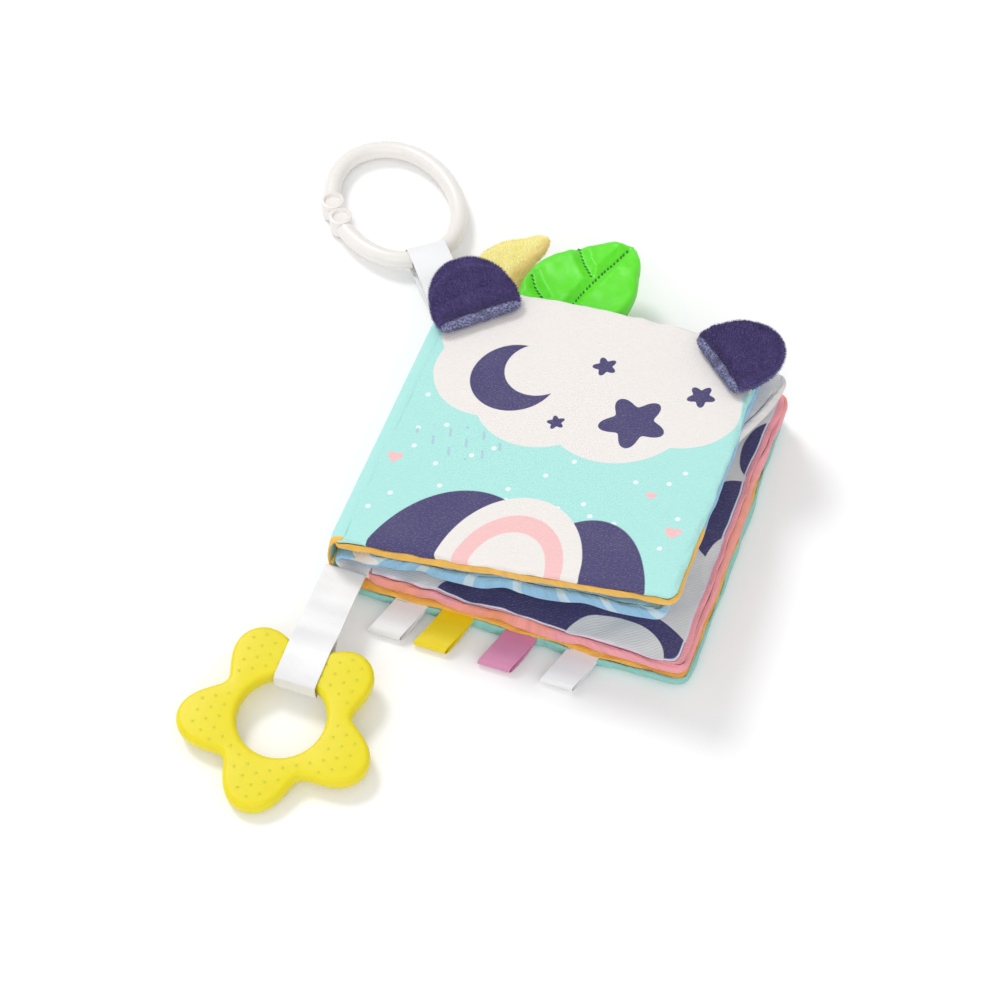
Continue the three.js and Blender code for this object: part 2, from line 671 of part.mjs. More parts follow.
// Star teether on its ribbon, in front of the spine's tail end. The ribbon is in two lengths,
// with a bend between them: one goes to the spine, the other wraps the star's rim.
function addTeether() {
  const bendX = spineX + teetherRibbonSetback;
  const rootY = -halfHeight - touchGap - ribbonRootRadius;
  const rootPlace = new THREE.Vector3(bendX, rootY, teetherRibbonRootHeight);
  const reach = teetherRibbonReach + teetherHoleReach + starReach;
  const lowest = starThickness / 2 + starFloorGap;
  const drop = Math.asin((teetherRibbonRootHeight - lowest) / reach);
  const ribbon = ribbonFrame(rootPlace, -90 * degree, drop);
  root.add(ribbon);
  const strip = new THREE.Shape();
  strip.absarc(0, 0, ribbonRootRadius, 90 * degree, 270 * degree, false);
  const stripEnd = teetherRibbonReach - 2 * ribbonRootRadius - touchGap;
  strip.absarc(stripEnd, 0, ribbonRootRadius, -90 * degree, 90 * degree, false);
  add(ribbon, "teether_ribbon", ribbonGeometry(strip, ribbonWidth), satinWhite, 0.4);

  const bend = new THREE.Group();
  bend.position.x = teetherRibbonReach;
  ribbon.add(bend);
  const halfWidth = ribbonWidth / 2;
  const rimClose = Math.sqrt(starHole ** 2 - halfWidth ** 2);
  const eyeFar = teetherHoleReach - rimClose + touchGap;
  const eyeNear = teetherHoleReach - starShoulder(halfWidth) - touchGap;
  const eyeHalf = starThickness / 2 + touchGap;
  const outerHalf = eyeHalf + ribbonPly;
  const loop = new THREE.Shape();
  loop.absarc(0, 0, ribbonRootRadius, 90 * degree, 270 * degree, false);
  loop.lineTo(eyeNear, -outerHalf);
  loop.lineTo(eyeFar, -outerHalf);
  loop.absarc(eyeFar, -eyeHalf, ribbonPly, -90 * degree, 0, false);
  loop.absarc(eyeFar, eyeHalf, ribbonPly, 0, 90 * degree, false);
  loop.lineTo(eyeNear, outerHalf);
  const eyeHole = new THREE.Path();
  eyeHole.moveTo(eyeNear, -eyeHalf);
  eyeHole.lineTo(eyeFar, -eyeHalf);
  eyeHole.lineTo(eyeFar, eyeHalf);
  eyeHole.lineTo(eyeNear, eyeHalf);
  eyeHole.closePath();
  loop.holes.push(eyeHole);
  add(bend, "teether_ribbon_loop", ribbonGeometry(loop, ribbonWidth), satinWhite, 0.4);

  const outline = new THREE.Shape();
  const steps = starStepsPerLobe * starLobes;
  for (let k = 0; k < steps; k++) {
    const angle = (360 * degree * k) / steps;
    const radius = starRadius(angle) - starEdgeRound;
    const point = [radius * Math.cos(angle), radius * Math.sin(angle)];
    if (k === 0) outline.moveTo(...point);
    else outline.lineTo(...point);
  }
  outline.closePath();
  const hole = new THREE.Path();
  hole.absarc(0, 0, starHole + starEdgeRound, 0, 360 * degree, true);
  outline.holes.push(hole);
  const star = new THREE.ExtrudeGeometry(outline, {
    depth: starThickness - 2 * starEdgeRound,
    curveSegments: starHoleSegments,
    bevelThickness: starEdgeRound,
    bevelSize: starEdgeRound,
    bevelSegments: starBevelSegments,
  });
  star.translate(0, 0, -starThickness / 2 + starEdgeRound);
  star.rotateX(-90 * degree);
  star.translate(teetherHoleReach, 0, 0);
  add(bend, "star_teether", star, siliconeYellow, 0.45);
}

addTeether();

// Tag loops along the back cover's tail edge.
function addTag(name, share, colour) {
  const seat = backMid + tagSeatShare * halfLeaf + touchGap / 2;
  const place = new THREE.Vector3(share * backCoverWidth, -halfHeight + touchGap, seat);
  const tag = ribbonFrame(place, -90 * degree, tagDrop);
  root.add(tag);
  const shape = new THREE.Shape();
  shape.absarc(0, 0, tagRadius, 90 * degree, 270 * degree, false);
  shape.absarc(tagLength, 0, tagRadius, -90 * degree, 90 * degree, false);
  const slot = new THREE.Path();
  const half = tagRadius - tagPly;
  slot.moveTo(0, half);
  slot.lineTo(tagLength, half);
  slot.lineTo(tagLength, -half);
  slot.lineTo(0, -half);
  slot.closePath();
  shape.holes.push(slot);
  const geometry = ribbonGeometry(shape, tagWidth);
  const lean = new THREE.Matrix4();
  lean.elements[2] = tagLeanShare;
  geometry.applyMatrix4(lean);
  add(tag, name, geometry, colour, 0.5);
}

tagNames.forEach((name, k) => addTag(name, tagPlaceShares[k], tagColours[k]));

export default root;
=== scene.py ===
"""A padded cloth book for a baby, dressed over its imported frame."""

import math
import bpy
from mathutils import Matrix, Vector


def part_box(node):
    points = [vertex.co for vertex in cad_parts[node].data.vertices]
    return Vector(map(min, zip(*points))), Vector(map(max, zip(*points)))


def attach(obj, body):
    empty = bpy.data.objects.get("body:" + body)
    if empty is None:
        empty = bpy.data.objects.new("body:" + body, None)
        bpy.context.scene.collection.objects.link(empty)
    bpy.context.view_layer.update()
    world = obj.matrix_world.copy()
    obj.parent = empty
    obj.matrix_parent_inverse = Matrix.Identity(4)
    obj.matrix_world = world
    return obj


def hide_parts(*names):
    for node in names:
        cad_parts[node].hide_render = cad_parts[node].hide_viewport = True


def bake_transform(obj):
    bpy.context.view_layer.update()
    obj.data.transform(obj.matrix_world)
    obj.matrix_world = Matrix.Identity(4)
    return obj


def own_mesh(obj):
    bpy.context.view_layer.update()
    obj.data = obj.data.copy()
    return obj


bl_info = {
    "name": "Crinkle Cloth Book",
    "version": (1, 0, 0),
    "blender": (4, 5, 0),
    "location": "View3D > Sidebar > Cloth Book",
    "description": "Dresses a cloth book with prints, plush, satin, a link ring and a star teether",
    "category": "Add Mesh",
}

from contextlib import contextmanager
from functools import reduce

import bpy
from mathutils import Matrix, Vector, noise

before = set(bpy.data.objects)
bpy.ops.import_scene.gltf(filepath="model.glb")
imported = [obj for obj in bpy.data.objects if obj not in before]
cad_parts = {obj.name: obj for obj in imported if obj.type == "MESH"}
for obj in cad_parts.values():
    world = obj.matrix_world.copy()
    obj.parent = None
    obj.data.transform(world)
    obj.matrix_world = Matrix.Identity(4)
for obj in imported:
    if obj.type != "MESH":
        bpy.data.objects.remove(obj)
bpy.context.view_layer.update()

MM = 0.001

# Places on the frame, in millimetres: hinge lines seen along Y, and the leaves' slopes
BACK_MIDDLE = 4.3
COVER_HINGE = (-80, 30.8267)
SECOND_HINGE = (-66, 22.7)
THIRD_HINGE = (-66, 13.5)
HINGE_ALLOWANCE = 2
UPPER_TILT = math.radians(7.5)
UPPER_TWIST = math.radians(3)
THIRD_TILT = math.radians(1.5)
SPINE_FACE = -75.3
SPINE_BULGE = 6.2
TOUCH = 0.3

# How cloth is laid out, in millimetres
EDGE_ROLL = 4.2
EDGE_BLUNTNESS = 0.72
LEAF_CORNER = 5.5
HINGE_CORNER = 2.2
LEAST_CORNER = 1.2
LEAF_LEVELS = 28
CUT_SPAN = 200  # of cloth across the UV map
CLOTH_THICKNESS = 0.6
FILLING_SHARE = 0.965  # of its slab's plan that a foam or film keeps, clear of the pleats
SIMULATION_FRAMES = 14
CLOTH_SETTINGS = {
    "quality": 4, "mass": 0.2, "tension_stiffness": 12, "compression_stiffness": 12,
    "bending_stiffness": 0.4, "use_pressure": True,
}

# The camera at the photograph's viewing angle
CAMERA_LENS = 108
SENSOR_WIDTH = 36
CAMERA_AZIMUTH = math.radians(19.4)
CAMERA_PITCH = math.radians(53)
CAMERA_DISTANCE = 1.283
CAMERA_TARGET = Vector((-0.0291, -0.0087, 0))


def linear(code):
    """A colour's linear values from its hexadecimal screen code."""
    values = [((code >> shift) & 255) / 255 for shift in (16, 8, 0)]
    return tuple(v / 12.92 if v <= 0.04045 else ((v + 0.055) / 1.055) ** 2.4 for v in values)


def span(node, axis):
    """A frame node's extent along an axis, in metres."""
    low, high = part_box(node)
    return high[axis] - low[axis]


def length(name, description, default):
    return bpy.props.FloatProperty(
        name=name, description=description, default=default, min=0.0001,
        subtype="DISTANCE", unit="LENGTH", precision=4,
    )


def colour(name, description, code):
    return bpy.props.FloatVectorProperty(
        name=name, description=description, default=linear(code), size=3, min=0, max=1,
        subtype="COLOR",
    )


class ClothBookSizes(bpy.types.PropertyGroup):
    """The sizes of the book and of what hangs on it."""

    book_height: length("Book Height", "From tail edge to head edge", span("back_cover_lining", 1))
    back_width: length("Back Cover Width", "Spine to fore edge", span("back_cover_lining", 0))
    front_width: length("Front Cover Width", "From its hinge side to the fore edge", 0.148)
    second_width: length("Second Leaf Width", "From its hinge side to the fore edge", 0.134)
    third_width: length("Third Leaf Width", "From its hinge side to the fore edge", 0.138)
    leaf_thickness: length("Leaf Thickness", "Of a padded leaf", span("back_cover_foam", 2) + 0.003)
    twill_pitch: length("Twill Pitch", "Between the ridges of the printed cloth", 0.0011)
    ear_width: length("Ear Width", "Along the sewn base", 0.040)
    ear_height: length("Ear Height", "From the base to the top of the dome", 0.031)
    ear_thickness: length("Ear Thickness", "Of the stuffed ear", 0.009)
    nap_length: length("Nap Length", "Of the plush fibres", 0.0011)
    flap_width: length("Leaf Flap Width", "Across the satin leaf flap", 0.051)
    flap_length: length("Leaf Flap Length", "From its seam to its tip", 0.0502)
    flap_thickness: length("Leaf Flap Thickness", "Of satin and wadding", 0.0032)
    horn_width: length("Horn Width", "Across the plush horn", 0.020)
    horn_length: length("Horn Length", "From its seam to its tip", 0.0522)
    horn_thickness: length("Horn Thickness", "Of the stuffed horn", 0.009)
    ring_length: length("Ring Length", "Outer length of the link ring", 0.082)
    ring_width: length("Ring Width", "Outer width of the link ring", 0.062)
    ring_tube: length("Ring Tube", "Thickness of the link ring", 0.008)
    ribbon_width: length("Ribbon Width", "Of the two long ribbons", 0.018)
    star_reach: length("Star Reach", "From the teether's middle to a lobe's tip", 0.0425)
    star_notch: length("Star Notch", "From the teether's middle to a notch", 0.0285)
    star_hole: length("Star Hole", "Radius of the teether's hole", 0.0183)
    star_thickness: length("Star Thickness", "Of the teether", 0.007)
    tag_width: length("Tag Width", "Of a ribbon tag loop", 0.014)
    tag_length: length("Tag Length", "Of a ribbon tag loop beyond its seam", 0.0155)


class ClothBookColours(bpy.types.PropertyGroup):
    """The colours of the fabrics, prints and mouldings."""

    aqua: colour("Aqua", "The cover's ground", 0xAFE8E2)
    cream: colour("Cream", "The pale motifs", 0xEFEAE6)
    navy: colour("Navy", "The dark motifs", 0x463F70)
    blush: colour("Blush", "The small pink motifs", 0xF6C4C4)
    amber: colour("Amber", "The covers' linings", 0xF8C050)
    sky: colour("Sky", "The second leaf's underside", 0x8FC3E6)
    grey: colour("Grey", "The pages' ground", 0xE8E4E2)
    rose: colour("Rose", "The third leaf's cloth", 0xFAA4AC)
    coral: colour("Coral", "The deeper tone of the third leaf's cloth", 0xF59A62)
    teal: colour("Teal", "The back cover's outside", 0x93D6CC)
    plush: colour("Ear Plush", "The ears' front", 0x5A4E80)
    plush_light: colour("Ear Fibre", "The fibres that catch the light on the ears", 0x7C78AE)
    # The rolled strip's pale tone is painted highlight on its fibres, over a darker base of the
    # same tone
    strip: colour("Ear Strip", "The rolled strip on the ears' base", 0xB0B2DC)
    ear_thread: colour("Ear Thread", "The stitches along the ears' base", 0x241D3C)
    horn: colour("Horn Plush", "The horn", 0xFFF6A8)
    # The horn's side colour is painted shade, where the horn faces down and to the fore edge
    horn_shade: colour("Horn Side", "The horn's side", 0xFFE292)
    leaf: colour("Leaf Satin", "The leaf flap", 0x60E81E)
    leaf_thread: colour("Leaf Thread", "The stitches on the leaf flap", 0x1F8A12)
    satin: colour("White Satin", "The ribbons and two tag loops", 0xF6F6F8)
    tag_yellow: colour("Yellow Satin", "The yellow tag loop", 0xF5DC00)
    tag_mauve: colour("Mauve Satin", "The mauve tag loop", 0xDC8EB6)
    ivory: colour("Ring Ivory", "The link ring", 0xF6F1EC)
    silicone: colour("Teether Yellow", "The star teether", 0xEEDF14)
    foam: colour("Foam", "The foam slabs", 0xF1EEE4)
    film: colour("Film", "The crinkle films", 0xDCE2E6)
    fill: colour("Fill", "The stuffing", 0xF3F3F1)


def size(name):
    """A size in millimetres."""
    return getattr(bpy.context.scene.cloth_book_sizes, name) / MM


def tone(name):
    """A colour as a shader takes it."""
    return (*getattr(bpy.context.scene.cloth_book_colours, name), 1)


# Materials

# Tones that belong to the weave or to small printed marks, as a shader takes them
# A pale tone for wear that varies at random and for painted highlights on the twill's ridge tops
WEAR_AND_HIGHLIGHT = (0.86, 0.84, 0.9, 1)
PLEAT_SHADE = (0.1, 0.06, 0.08, 1)
PALE_DOT = (0.86, 0.97, 0.96, 1)
RAIN = (0.42, 0.62, 0.72, 1)
PALE_CLOUD = (0.88, 0.94, 0.97, 1)
PALE_MARK = (0.78, 0.86, 0.84, 1)
PAGE_LINE = (0.84, 0.8, 0.9, 1)
PALE_TEAL = (0.72, 0.92, 0.88, 1)
TERRY_LIGHT = (1, 0.93, 0.7, 1)


class Finish:
    """A material in the making, with short calls for its nodes."""

    def __init__(self, name, roughness, **values):
        self.material = bpy.data.materials.new(name)
        self.material.use_nodes = True
        self.tree = self.material.node_tree
        self.tree.nodes.clear()
        self.shader = self.add("ShaderNodeBsdfPrincipled")
        output = self.add("ShaderNodeOutputMaterial")
        self.tree.links.new(self.shader.outputs[0], output.inputs[0])
        self.set("Roughness", roughness)
        for label, value in values.items():
            self.set(label.replace("_", " ").title().replace("Ior", "IOR"), value)

    def add(self, kind, **settings):
        node = self.tree.nodes.new(kind)
        for name, value in settings.items():
            setattr(node, name, value)
        return node

    def set(self, label, value):
        self.plug(self.shader.inputs[label], value)

    def plug(self, socket, value):
        if isinstance(value, bpy.types.NodeSocket):
            self.tree.links.new(value, socket)
        else:
            socket.default_value = value

    def math(self, operation, *values, clamp=False):
        node = self.add("ShaderNodeMath", operation=operation, use_clamp=clamp)
        for socket, value in zip(node.inputs, values):
            self.plug(socket, value)
        return node.outputs[0]

    def times(self, first, second):
        return self.math("MULTIPLY", first, second)

    def weighted(self, value, weight, rest):
        """A value times its weight, plus the rest."""
        return self.math("MULTIPLY_ADD", value, weight, rest)

    def ramp(self, value, slope, start):
        """A straight rise or fall over a value, held between 0 and 1."""
        return self.math("MULTIPLY_ADD", value, slope, start, clamp=True)

    def vector(self, operation, *values):
        node = self.add("ShaderNodeVectorMath", operation=operation)
        for socket, value in zip(node.inputs, values):
            self.plug(socket, value)
        scalar = operation in ("DISTANCE", "LENGTH", "DOT_PRODUCT")
        return node.outputs["Value" if scalar else "Vector"]

    def scaled(self, vector, factor):
        node = self.add("ShaderNodeVectorMath", operation="SCALE")
        self.plug(node.inputs[0], vector)
        node.inputs["Scale"].default_value = factor
        return node.outputs[0]

    def mix(self, factor, first, second):
        node = self.add("ShaderNodeMix", data_type="RGBA")
        for index, value in ((0, factor), (6, first), (7, second)):
            self.plug(node.inputs[index], value)
        return node.outputs[2]

    def split(self, vector):
        node = self.add("ShaderNodeSeparateXYZ")
        self.plug(node.inputs[0], vector)
        return node.outputs

    def object_mm(self):
        """Object coordinates in millimetres."""
        return self.scaled(self.add("ShaderNodeTexCoord").outputs["Object"], 1 / MM)

    def cut_mm(self):
        """Where a point lies on its flat cut, in millimetres from the middle."""
        source = self.add("ShaderNodeUVMap", uv_map="cut").outputs[0]
        return self.scaled(self.vector("SUBTRACT", source, (0.5, 0.5, 0)), CUT_SPAN)

    def noise(self, vector, scale, detail=2):
        node = self.add("ShaderNodeTexNoise")
        self.plug(node.inputs["Vector"], vector)
        node.inputs["Scale"].default_value = scale
        node.inputs["Detail"].default_value = detail
        return node.outputs["Fac"]

    def bump(self, height, depth):
        """Relief of a height field, with its depth in millimetres."""
        node = self.add("ShaderNodeBump")
        node.inputs["Strength"].default_value = 1
        node.inputs["Distance"].default_value = depth * MM
        self.plug(node.inputs["Height"], height)
        self.set("Normal", node.outputs[0])

    def ridges(self, vector, pitch_x, pitch_y, unrest=0.0):
        """A sine that runs along a direction, from 0 to 1."""
        direction = [2 * math.pi / p if p else 0 for p in (pitch_x, pitch_y)]
        phase = self.vector("DOT_PRODUCT", vector, (*direction, 0))
        if unrest:
            phase = self.weighted(self.noise(vector, 0.7), unrest, phase)
        return self.weighted(self.math("SINE", phase), 0.5, 0.5)

    def twill(self, vector, base, depth=0.09, shade=0.10, pleats=None):
        """Twill cloth: diagonal ridges crossed by fine threads, in relief and in tone; the tone
        pales the ridge tops in specks as painted highlights, adds paler wear at random, and darkens
        the gathers as painted shade.
        """
        pitch = size("twill_pitch") * math.sqrt(2)
        fine = pitch * 0.42
        ridge = self.ridges(vector, pitch * 1.25, -pitch, 5)
        thread = self.times(self.ridges(vector, fine, 0), self.ridges(vector, 0, fine))
        height = self.weighted(thread, 0.45, ridge)
        # Paler wear that varies at random, and painted highlights: the ridge tops pale in specks
        worn = self.weighted(self.noise(vector, 0.05, 4), 0.6, -0.3)
        specks = self.ramp(self.noise(vector, 1.1, 1), 3.4, -1.5)
        lit = self.math("ADD", self.times(height, specks), worn)
        tinted = self.mix(self.math("MULTIPLY", lit, shade, clamp=True), base, WEAR_AND_HIGHLIGHT)
        if pleats:
            tinted = self.mix(self.times(pleats, 0.14), tinted, PLEAT_SHADE)
            height = self.weighted(pleats, -0.55 / depth, height)
        self.set("Base Color", tinted)
        self.bump(height, depth)
        return self.material

    @staticmethod
    def darker(base, share=0.72):
        return tuple(v * share for v in base[:3]) + (1,)


class Print(Finish):
    """A printed cloth: motifs are masks over the flat cut, in millimetres."""

    EDGE = 0.35  # how far an ink's edge spreads
    GATHER = 7  # how far the gathers run in from a seam

    def __init__(self, name, ground):
        super().__init__(name, 0.82, sheen_weight=0.12, sheen_roughness=0.5)
        self.mm = self.cut_mm()
        self.picture = tone(ground)

    def reach(self, distance, limit):
        """1 where a distance is under a limit."""
        slope = 1 / self.EDGE
        if isinstance(limit, (int, float)):
            return self.ramp(distance, -slope, limit * slope + 0.5)
        return self.ramp(self.math("SUBTRACT", limit, distance), slope, 0.5)

    def beyond(self, distance, limit):
        """1 where a distance is over a limit."""
        return self.reach(self.times(distance, -1), -limit)

    def oval(self, x, y, across, high=None):
        if high is None:
            return self.reach(self.vector("DISTANCE", self.mm, (x, y, 0)), across)
        shrunk = self.vector("MULTIPLY", self.mm, (1, across / high, 0))
        return self.reach(self.vector("DISTANCE", shrunk, (x, y * across / high, 0)), across)

    def ovals(self, *places):
        return self.join(*(self.oval(*place) for place in places))

    def join(self, *masks):
        """1 where any mask is."""
        return reduce(lambda whole, mask: self.math("MAXIMUM", whole, mask), masks)

    def both(self, *masks):
        """1 where every mask is."""
        return reduce(self.times, masks)

    def cut(self, mask, hole):
        return self.times(mask, self.math("SUBTRACT", 1, hole))

    def ink(self, mask, shade):
        shade = tone(shade) if isinstance(shade, str) else shade
        self.picture = self.mix(mask, self.picture, shade)

    def star(self, x, y, reach, turn=0.3):
        local = self.vector("SUBTRACT", self.mm, (x, y, 0))
        parts = self.split(local)
        angle = self.math("ARCTAN2", parts[1], parts[0])
        wave = self.math("COSINE", self.weighted(angle, 5, turn))
        limit = self.weighted(wave, reach * 0.2, reach * 0.8)
        return self.reach(self.vector("LENGTH", local), limit)

    def heart(self, x, y, wide):
        """Two round lobes over a point, folded about the upright line."""
        local = self.vector("SUBTRACT", self.mm, (x, y, 0))
        parts = self.split(local)
        aside = self.math("ABSOLUTE", parts[0])
        folded = self.add("ShaderNodeCombineXYZ")
        self.plug(folded.inputs[0], aside)
        self.plug(folded.inputs[1], parts[1])
        middle = (wide * 0.5, wide * 0.3, 0)
        lobe = self.reach(self.vector("DISTANCE", folded.outputs[0], middle), wide * 0.56)
        lower = self.reach(self.math("SUBTRACT", aside, parts[1]), wide * 0.99)
        upper = self.reach(self.math("ADD", aside, parts[1]), wide * 0.8)
        below = self.reach(parts[1], wide * 0.3)
        return self.join(lobe, self.both(lower, upper, below))

    def dots(self, scale, radius):
        node = self.add("ShaderNodeTexVoronoi", voronoi_dimensions="2D")
        self.plug(node.inputs["Vector"], self.mm)
        node.inputs["Scale"].default_value = scale
        return self.reach(self.math("DIVIDE", node.outputs["Distance"], scale), radius)

    def dashes(self, pitch_x, pitch_y, slant):
        """Short slanted strokes in staggered columns."""
        parts = self.split(self.mm)
        leaning = self.weighted(parts[1], slant, parts[0])
        column = self.math("FLOOR", self.math("DIVIDE", leaning, pitch_x))
        staggered = self.weighted(column, pitch_y * 0.43, parts[1])
        aside = self.math("PINGPONG", leaning, pitch_x / 2)
        across = self.math("SUBTRACT", pitch_x / 2, aside)
        along = self.math("PINGPONG", staggered, pitch_y / 2)
        return self.both(self.reach(across, 0.6), self.reach(along, 2.2))

    def pleats(self, width):
        """Soft gathers that run in from the seams, most of all from the tail's."""
        parts = self.split(self.mm)
        masks = []
        for axis, edge, stretch, share in (
            (1, size("book_height") / 2, (1, 0.12, 0), 1),
            (0, width / 2, (0.12, 1, 0), 0.6),
        ):
            stretched = self.vector("MULTIPLY", self.mm, stretch)
            lines = self.ramp(self.noise(stretched, 0.2), 3.4, -1.2)
            away = self.math("ABSOLUTE", parts[axis])
            near = self.ramp(away, 1 / self.GATHER, 1 - edge / self.GATHER)
            masks.append(self.times(self.times(lines, near), share))
        return self.join(*masks)

    def finished(self, depth=0.09, shade=0.10, width=0):
        pleats = self.pleats(width) if width else None
        return self.twill(self.mm, self.picture, depth, shade, pleats)


def cover_print():
    """Aqua with a wide cream cloud, moon and stars, navy hills with an arch, rain and hearts."""
    art = Print("cover_print", "aqua")
    art.ink(art.dots(0.055, 1.1), PALE_DOT)
    art.ink(art.ovals((-21, -92, 41, 54), (33, -98, 31, 56)), "navy")
    for across, shade in ((31, "cream"), (23.5, "blush"), (16.5, "cream")):
        art.ink(art.oval(2, -77, across, across * 1.3), shade)
    lower_puffs = ((-40, 28, 26), (-14, 20, 30), (20, 22, 33), (46, 30, 26))
    upper_puffs = ((-50, 48, 20), (-22, 56, 30), (18, 58, 34), (52, 54, 22))
    art.ink(art.ovals(*lower_puffs, *upper_puffs), "cream")
    art.ink(art.both(art.dashes(7.5, 10, 0.3), art.oval(-38, -14, 24, 9)), RAIN)
    art.ink(art.cut(art.oval(-30, 26, 19), art.oval(-21, 33, 15)), "navy")
    art.ink(art.star(28, 14, 15, 1.2), "navy")
    small_stars = ((52, 36, 6.5, 0.4), (6, 42, 5.5, 2.0), (-4, 6, 4, 2.6))
    art.ink(art.join(*(art.star(*place) for place in small_stars)), "navy")
    hearts = ((-64, -28, 3.2), (63, -42, 3.4), (48, -24, 2.2))
    art.ink(art.join(*(art.heart(*place) for place in hearts)), "blush")
    return art.finished()


def cover_lining_print():
    """Amber field below a light blue sky, with a cream sun and a cloud."""
    art = Print("cover_lining", "sky")
    art.ink(art.oval(26, 30, 20), "cream")
    art.ink(art.ovals((-40, 34, 13), (-26, 38, 16), (-10, 33, 12)), PALE_CLOUD)
    horizon = -34
    field = art.join(art.oval(-30, -110, 130, 68), art.reach(art.split(art.mm)[1], horizon))
    art.ink(field, "amber")
    art.ink(art.both(art.oval(0, -20, 66, 44), field, art.dots(0.07, 1.2)), "coral")
    return art.finished(width=size("front_width"))


def second_upper_print():
    """Grey ground with paler strokes along it, stars on a cream disc and a blue tail edge."""
    art = Print("second_leaf_upper", "grey")
    stripes = art.both(art.ridges(art.mm, 9, 0, 4), art.ridges(art.mm, 0, 60, 3))
    art.ink(art.times(stripes, 0.6), "cream")
    art.ink(art.oval(-6, -6, 44, 38), "cream")
    stars = ((-20, 6, 13), (16, -14, 10, 1.5), (18, 16, 6))
    art.ink(art.join(*(art.star(*place) for place in stars)), "navy")
    edge = 9
    art.ink(art.reach(art.split(art.mm)[1], edge - size("book_height") / 2), "sky")
    return art.finished()


def second_lower_print():
    """Blue ground with pale upright marks, a cloud and a grey fore edge."""
    art = Print("second_leaf_lower", "sky")
    x, y, _ = art.split(art.mm)
    marks, fore_edge = 8, 6
    upright = art.reach(art.math("PINGPONG", x, 11), 2.2)
    low = art.reach(y, marks - size("book_height") / 2)
    art.ink(art.times(art.both(upright, low), 0.5), PALE_MARK)
    art.ink(art.ovals((-18, 6, 20), (8, 14, 26), (32, 4, 18)), "cream")
    edge = art.both(art.beyond(x, size("second_width") / 2 - fore_edge), art.beyond(y, -52))
    art.ink(edge, "grey")
    art.ink(art.both(edge, art.times(art.ridges(art.mm, 0, 7, 3), 0.6)), "cream")
    return art.finished(width=size("second_width"))


def third_upper_print():
    """A grey page with navy hills and cream discs, lined in white and bordered in rose."""
    art = Print("third_leaf_upper", "grey")
    art.ink(art.ovals((16, -76, 56, 26), (66, 0, 17, 22), (70, 40, 12, 17)), "navy")
    art.ink(art.ovals((38, -75, 21, 15), (70, -22, 10, 15)), "cream")
    art.ink(art.ovals((-30, 18, 20), (10, 26, 13)), "cream")
    art.ink(art.star(-30, 18, 11), "blush")
    x, y, _ = art.split(art.mm)
    fore_border, end_border, corner, line = 4, 1.2, 7, 0.4
    side = art.math("SUBTRACT", size("third_width") / 2 - fore_border, x)
    ends = art.math("SUBTRACT", size("book_height") / 2 - end_border, art.math("ABSOLUTE", y))
    inside = art.math("SMOOTH_MIN", side, ends, corner)
    art.ink(art.ramp(inside, -1 / art.EDGE, 0.5), "rose")
    off_line = art.math("ABSOLUTE", art.math("SUBTRACT", inside, 0.6))
    art.ink(art.reach(off_line, line), PAGE_LINE)
    return art.finished()


def third_lower_cloth():
    """Smooth rose cloth with coral in soft patches."""
    art = Print("rose_cloth", "rose")
    art.ink(art.ramp(art.noise(art.mm, 0.03, 1), -3.5, 1.9), "coral")
    return art.finished(0.05, 0.06, size("third_width"))


def back_outer_print():
    """Teal with scattered pale dots."""
    art = Print("back_cover_outer", "teal")
    art.ink(art.both(art.oval(0, 0, 62), art.dots(0.06, 1.6)), PALE_TEAL)
    return art.finished(0.06, 0.08, size("back_width"))


def back_lining_print():
    """Amber with coral dots round a cream disc."""
    art = Print("back_cover_lining", "amber")
    art.ink(art.both(art.oval(0, 0, 66), art.dots(0.06, 1.8)), "coral")
    art.ink(art.oval(0, 4, 40), "cream")
    art.ink(art.star(0, 4, 22, 1.2), "navy")
    return art.finished(width=size("back_width"))


def two_sided(name, above, below):
    """Cloth of one colour on a pad's upper side and another below."""
    art = Print(name, below)
    art.ink(art.beyond(art.split(art.mm)[0], 0), above)
    return art.finished(0.07, 0.08)


def spine_cloth():
    """Aqua going over to teal at the foot, with amber hems at both ends."""
    cloth = Finish("spine_cloth", 0.82, sheen_weight=0.12, sheen_roughness=0.5)
    mm = cloth.object_mm()
    _, y, z = cloth.split(mm)
    aqua_from, fade, hem = 18.9, 14, 73
    ground = cloth.mix(cloth.ramp(z, -1 / fade, aqua_from / fade), tone("aqua"), tone("teal"))
    ends = cloth.ramp(cloth.math("ABSOLUTE", y), 2, -2 * hem)
    return cloth.twill(mm, cloth.mix(ends, ground, tone("amber")), 0.06, 0.08)


def fold_cloth():
    """Blue above, going over to grey below."""
    cloth = Finish("gutter_fold", 0.85, sheen_weight=0.15, sheen_roughness=0.5)
    mm = cloth.object_mm()
    blue_from, fade = 17.2, 2
    high = cloth.ramp(cloth.split(mm)[2], 1 / fade, -blue_from / fade)
    return cloth.twill(mm, cloth.mix(high, tone("grey"), tone("sky")), 0.07, 0.10)


def plush(name, base, light, depth, patch=0.5, spread=0.07):
    """Short plush: fine grain, lighter fibre tips in patches where the nap lies, partly the nap's
    own mottle and partly painted highlight, and a soft tinted rim.
    """
    cloth = Finish(
        name, 1.0, sheen_weight=0.6, sheen_roughness=0.35, sheen_tint=(0.16, 0.14, 0.3, 1),
        specular_ior_level=0.1,
    )
    mm = cloth.object_mm()
    patches = cloth.noise(mm, spread)
    fibres = cloth.noise(mm, 1.3, 3)
    # Painted highlights, partly the nap's own mottle: the light tone on fibre tips, in patches
    lying = cloth.ramp(patches, 3.0, -1.5 + 0.4 * patch)
    tips = cloth.ramp(fibres, 2.4, -0.95)
    tint = cloth.math("MULTIPLY", tips, cloth.weighted(lying, patch, 0.16), clamp=True)
    cloth.set("Base Color", cloth.mix(tint, base, light))
    cloth.bump(fibres, depth)
    return cloth.material


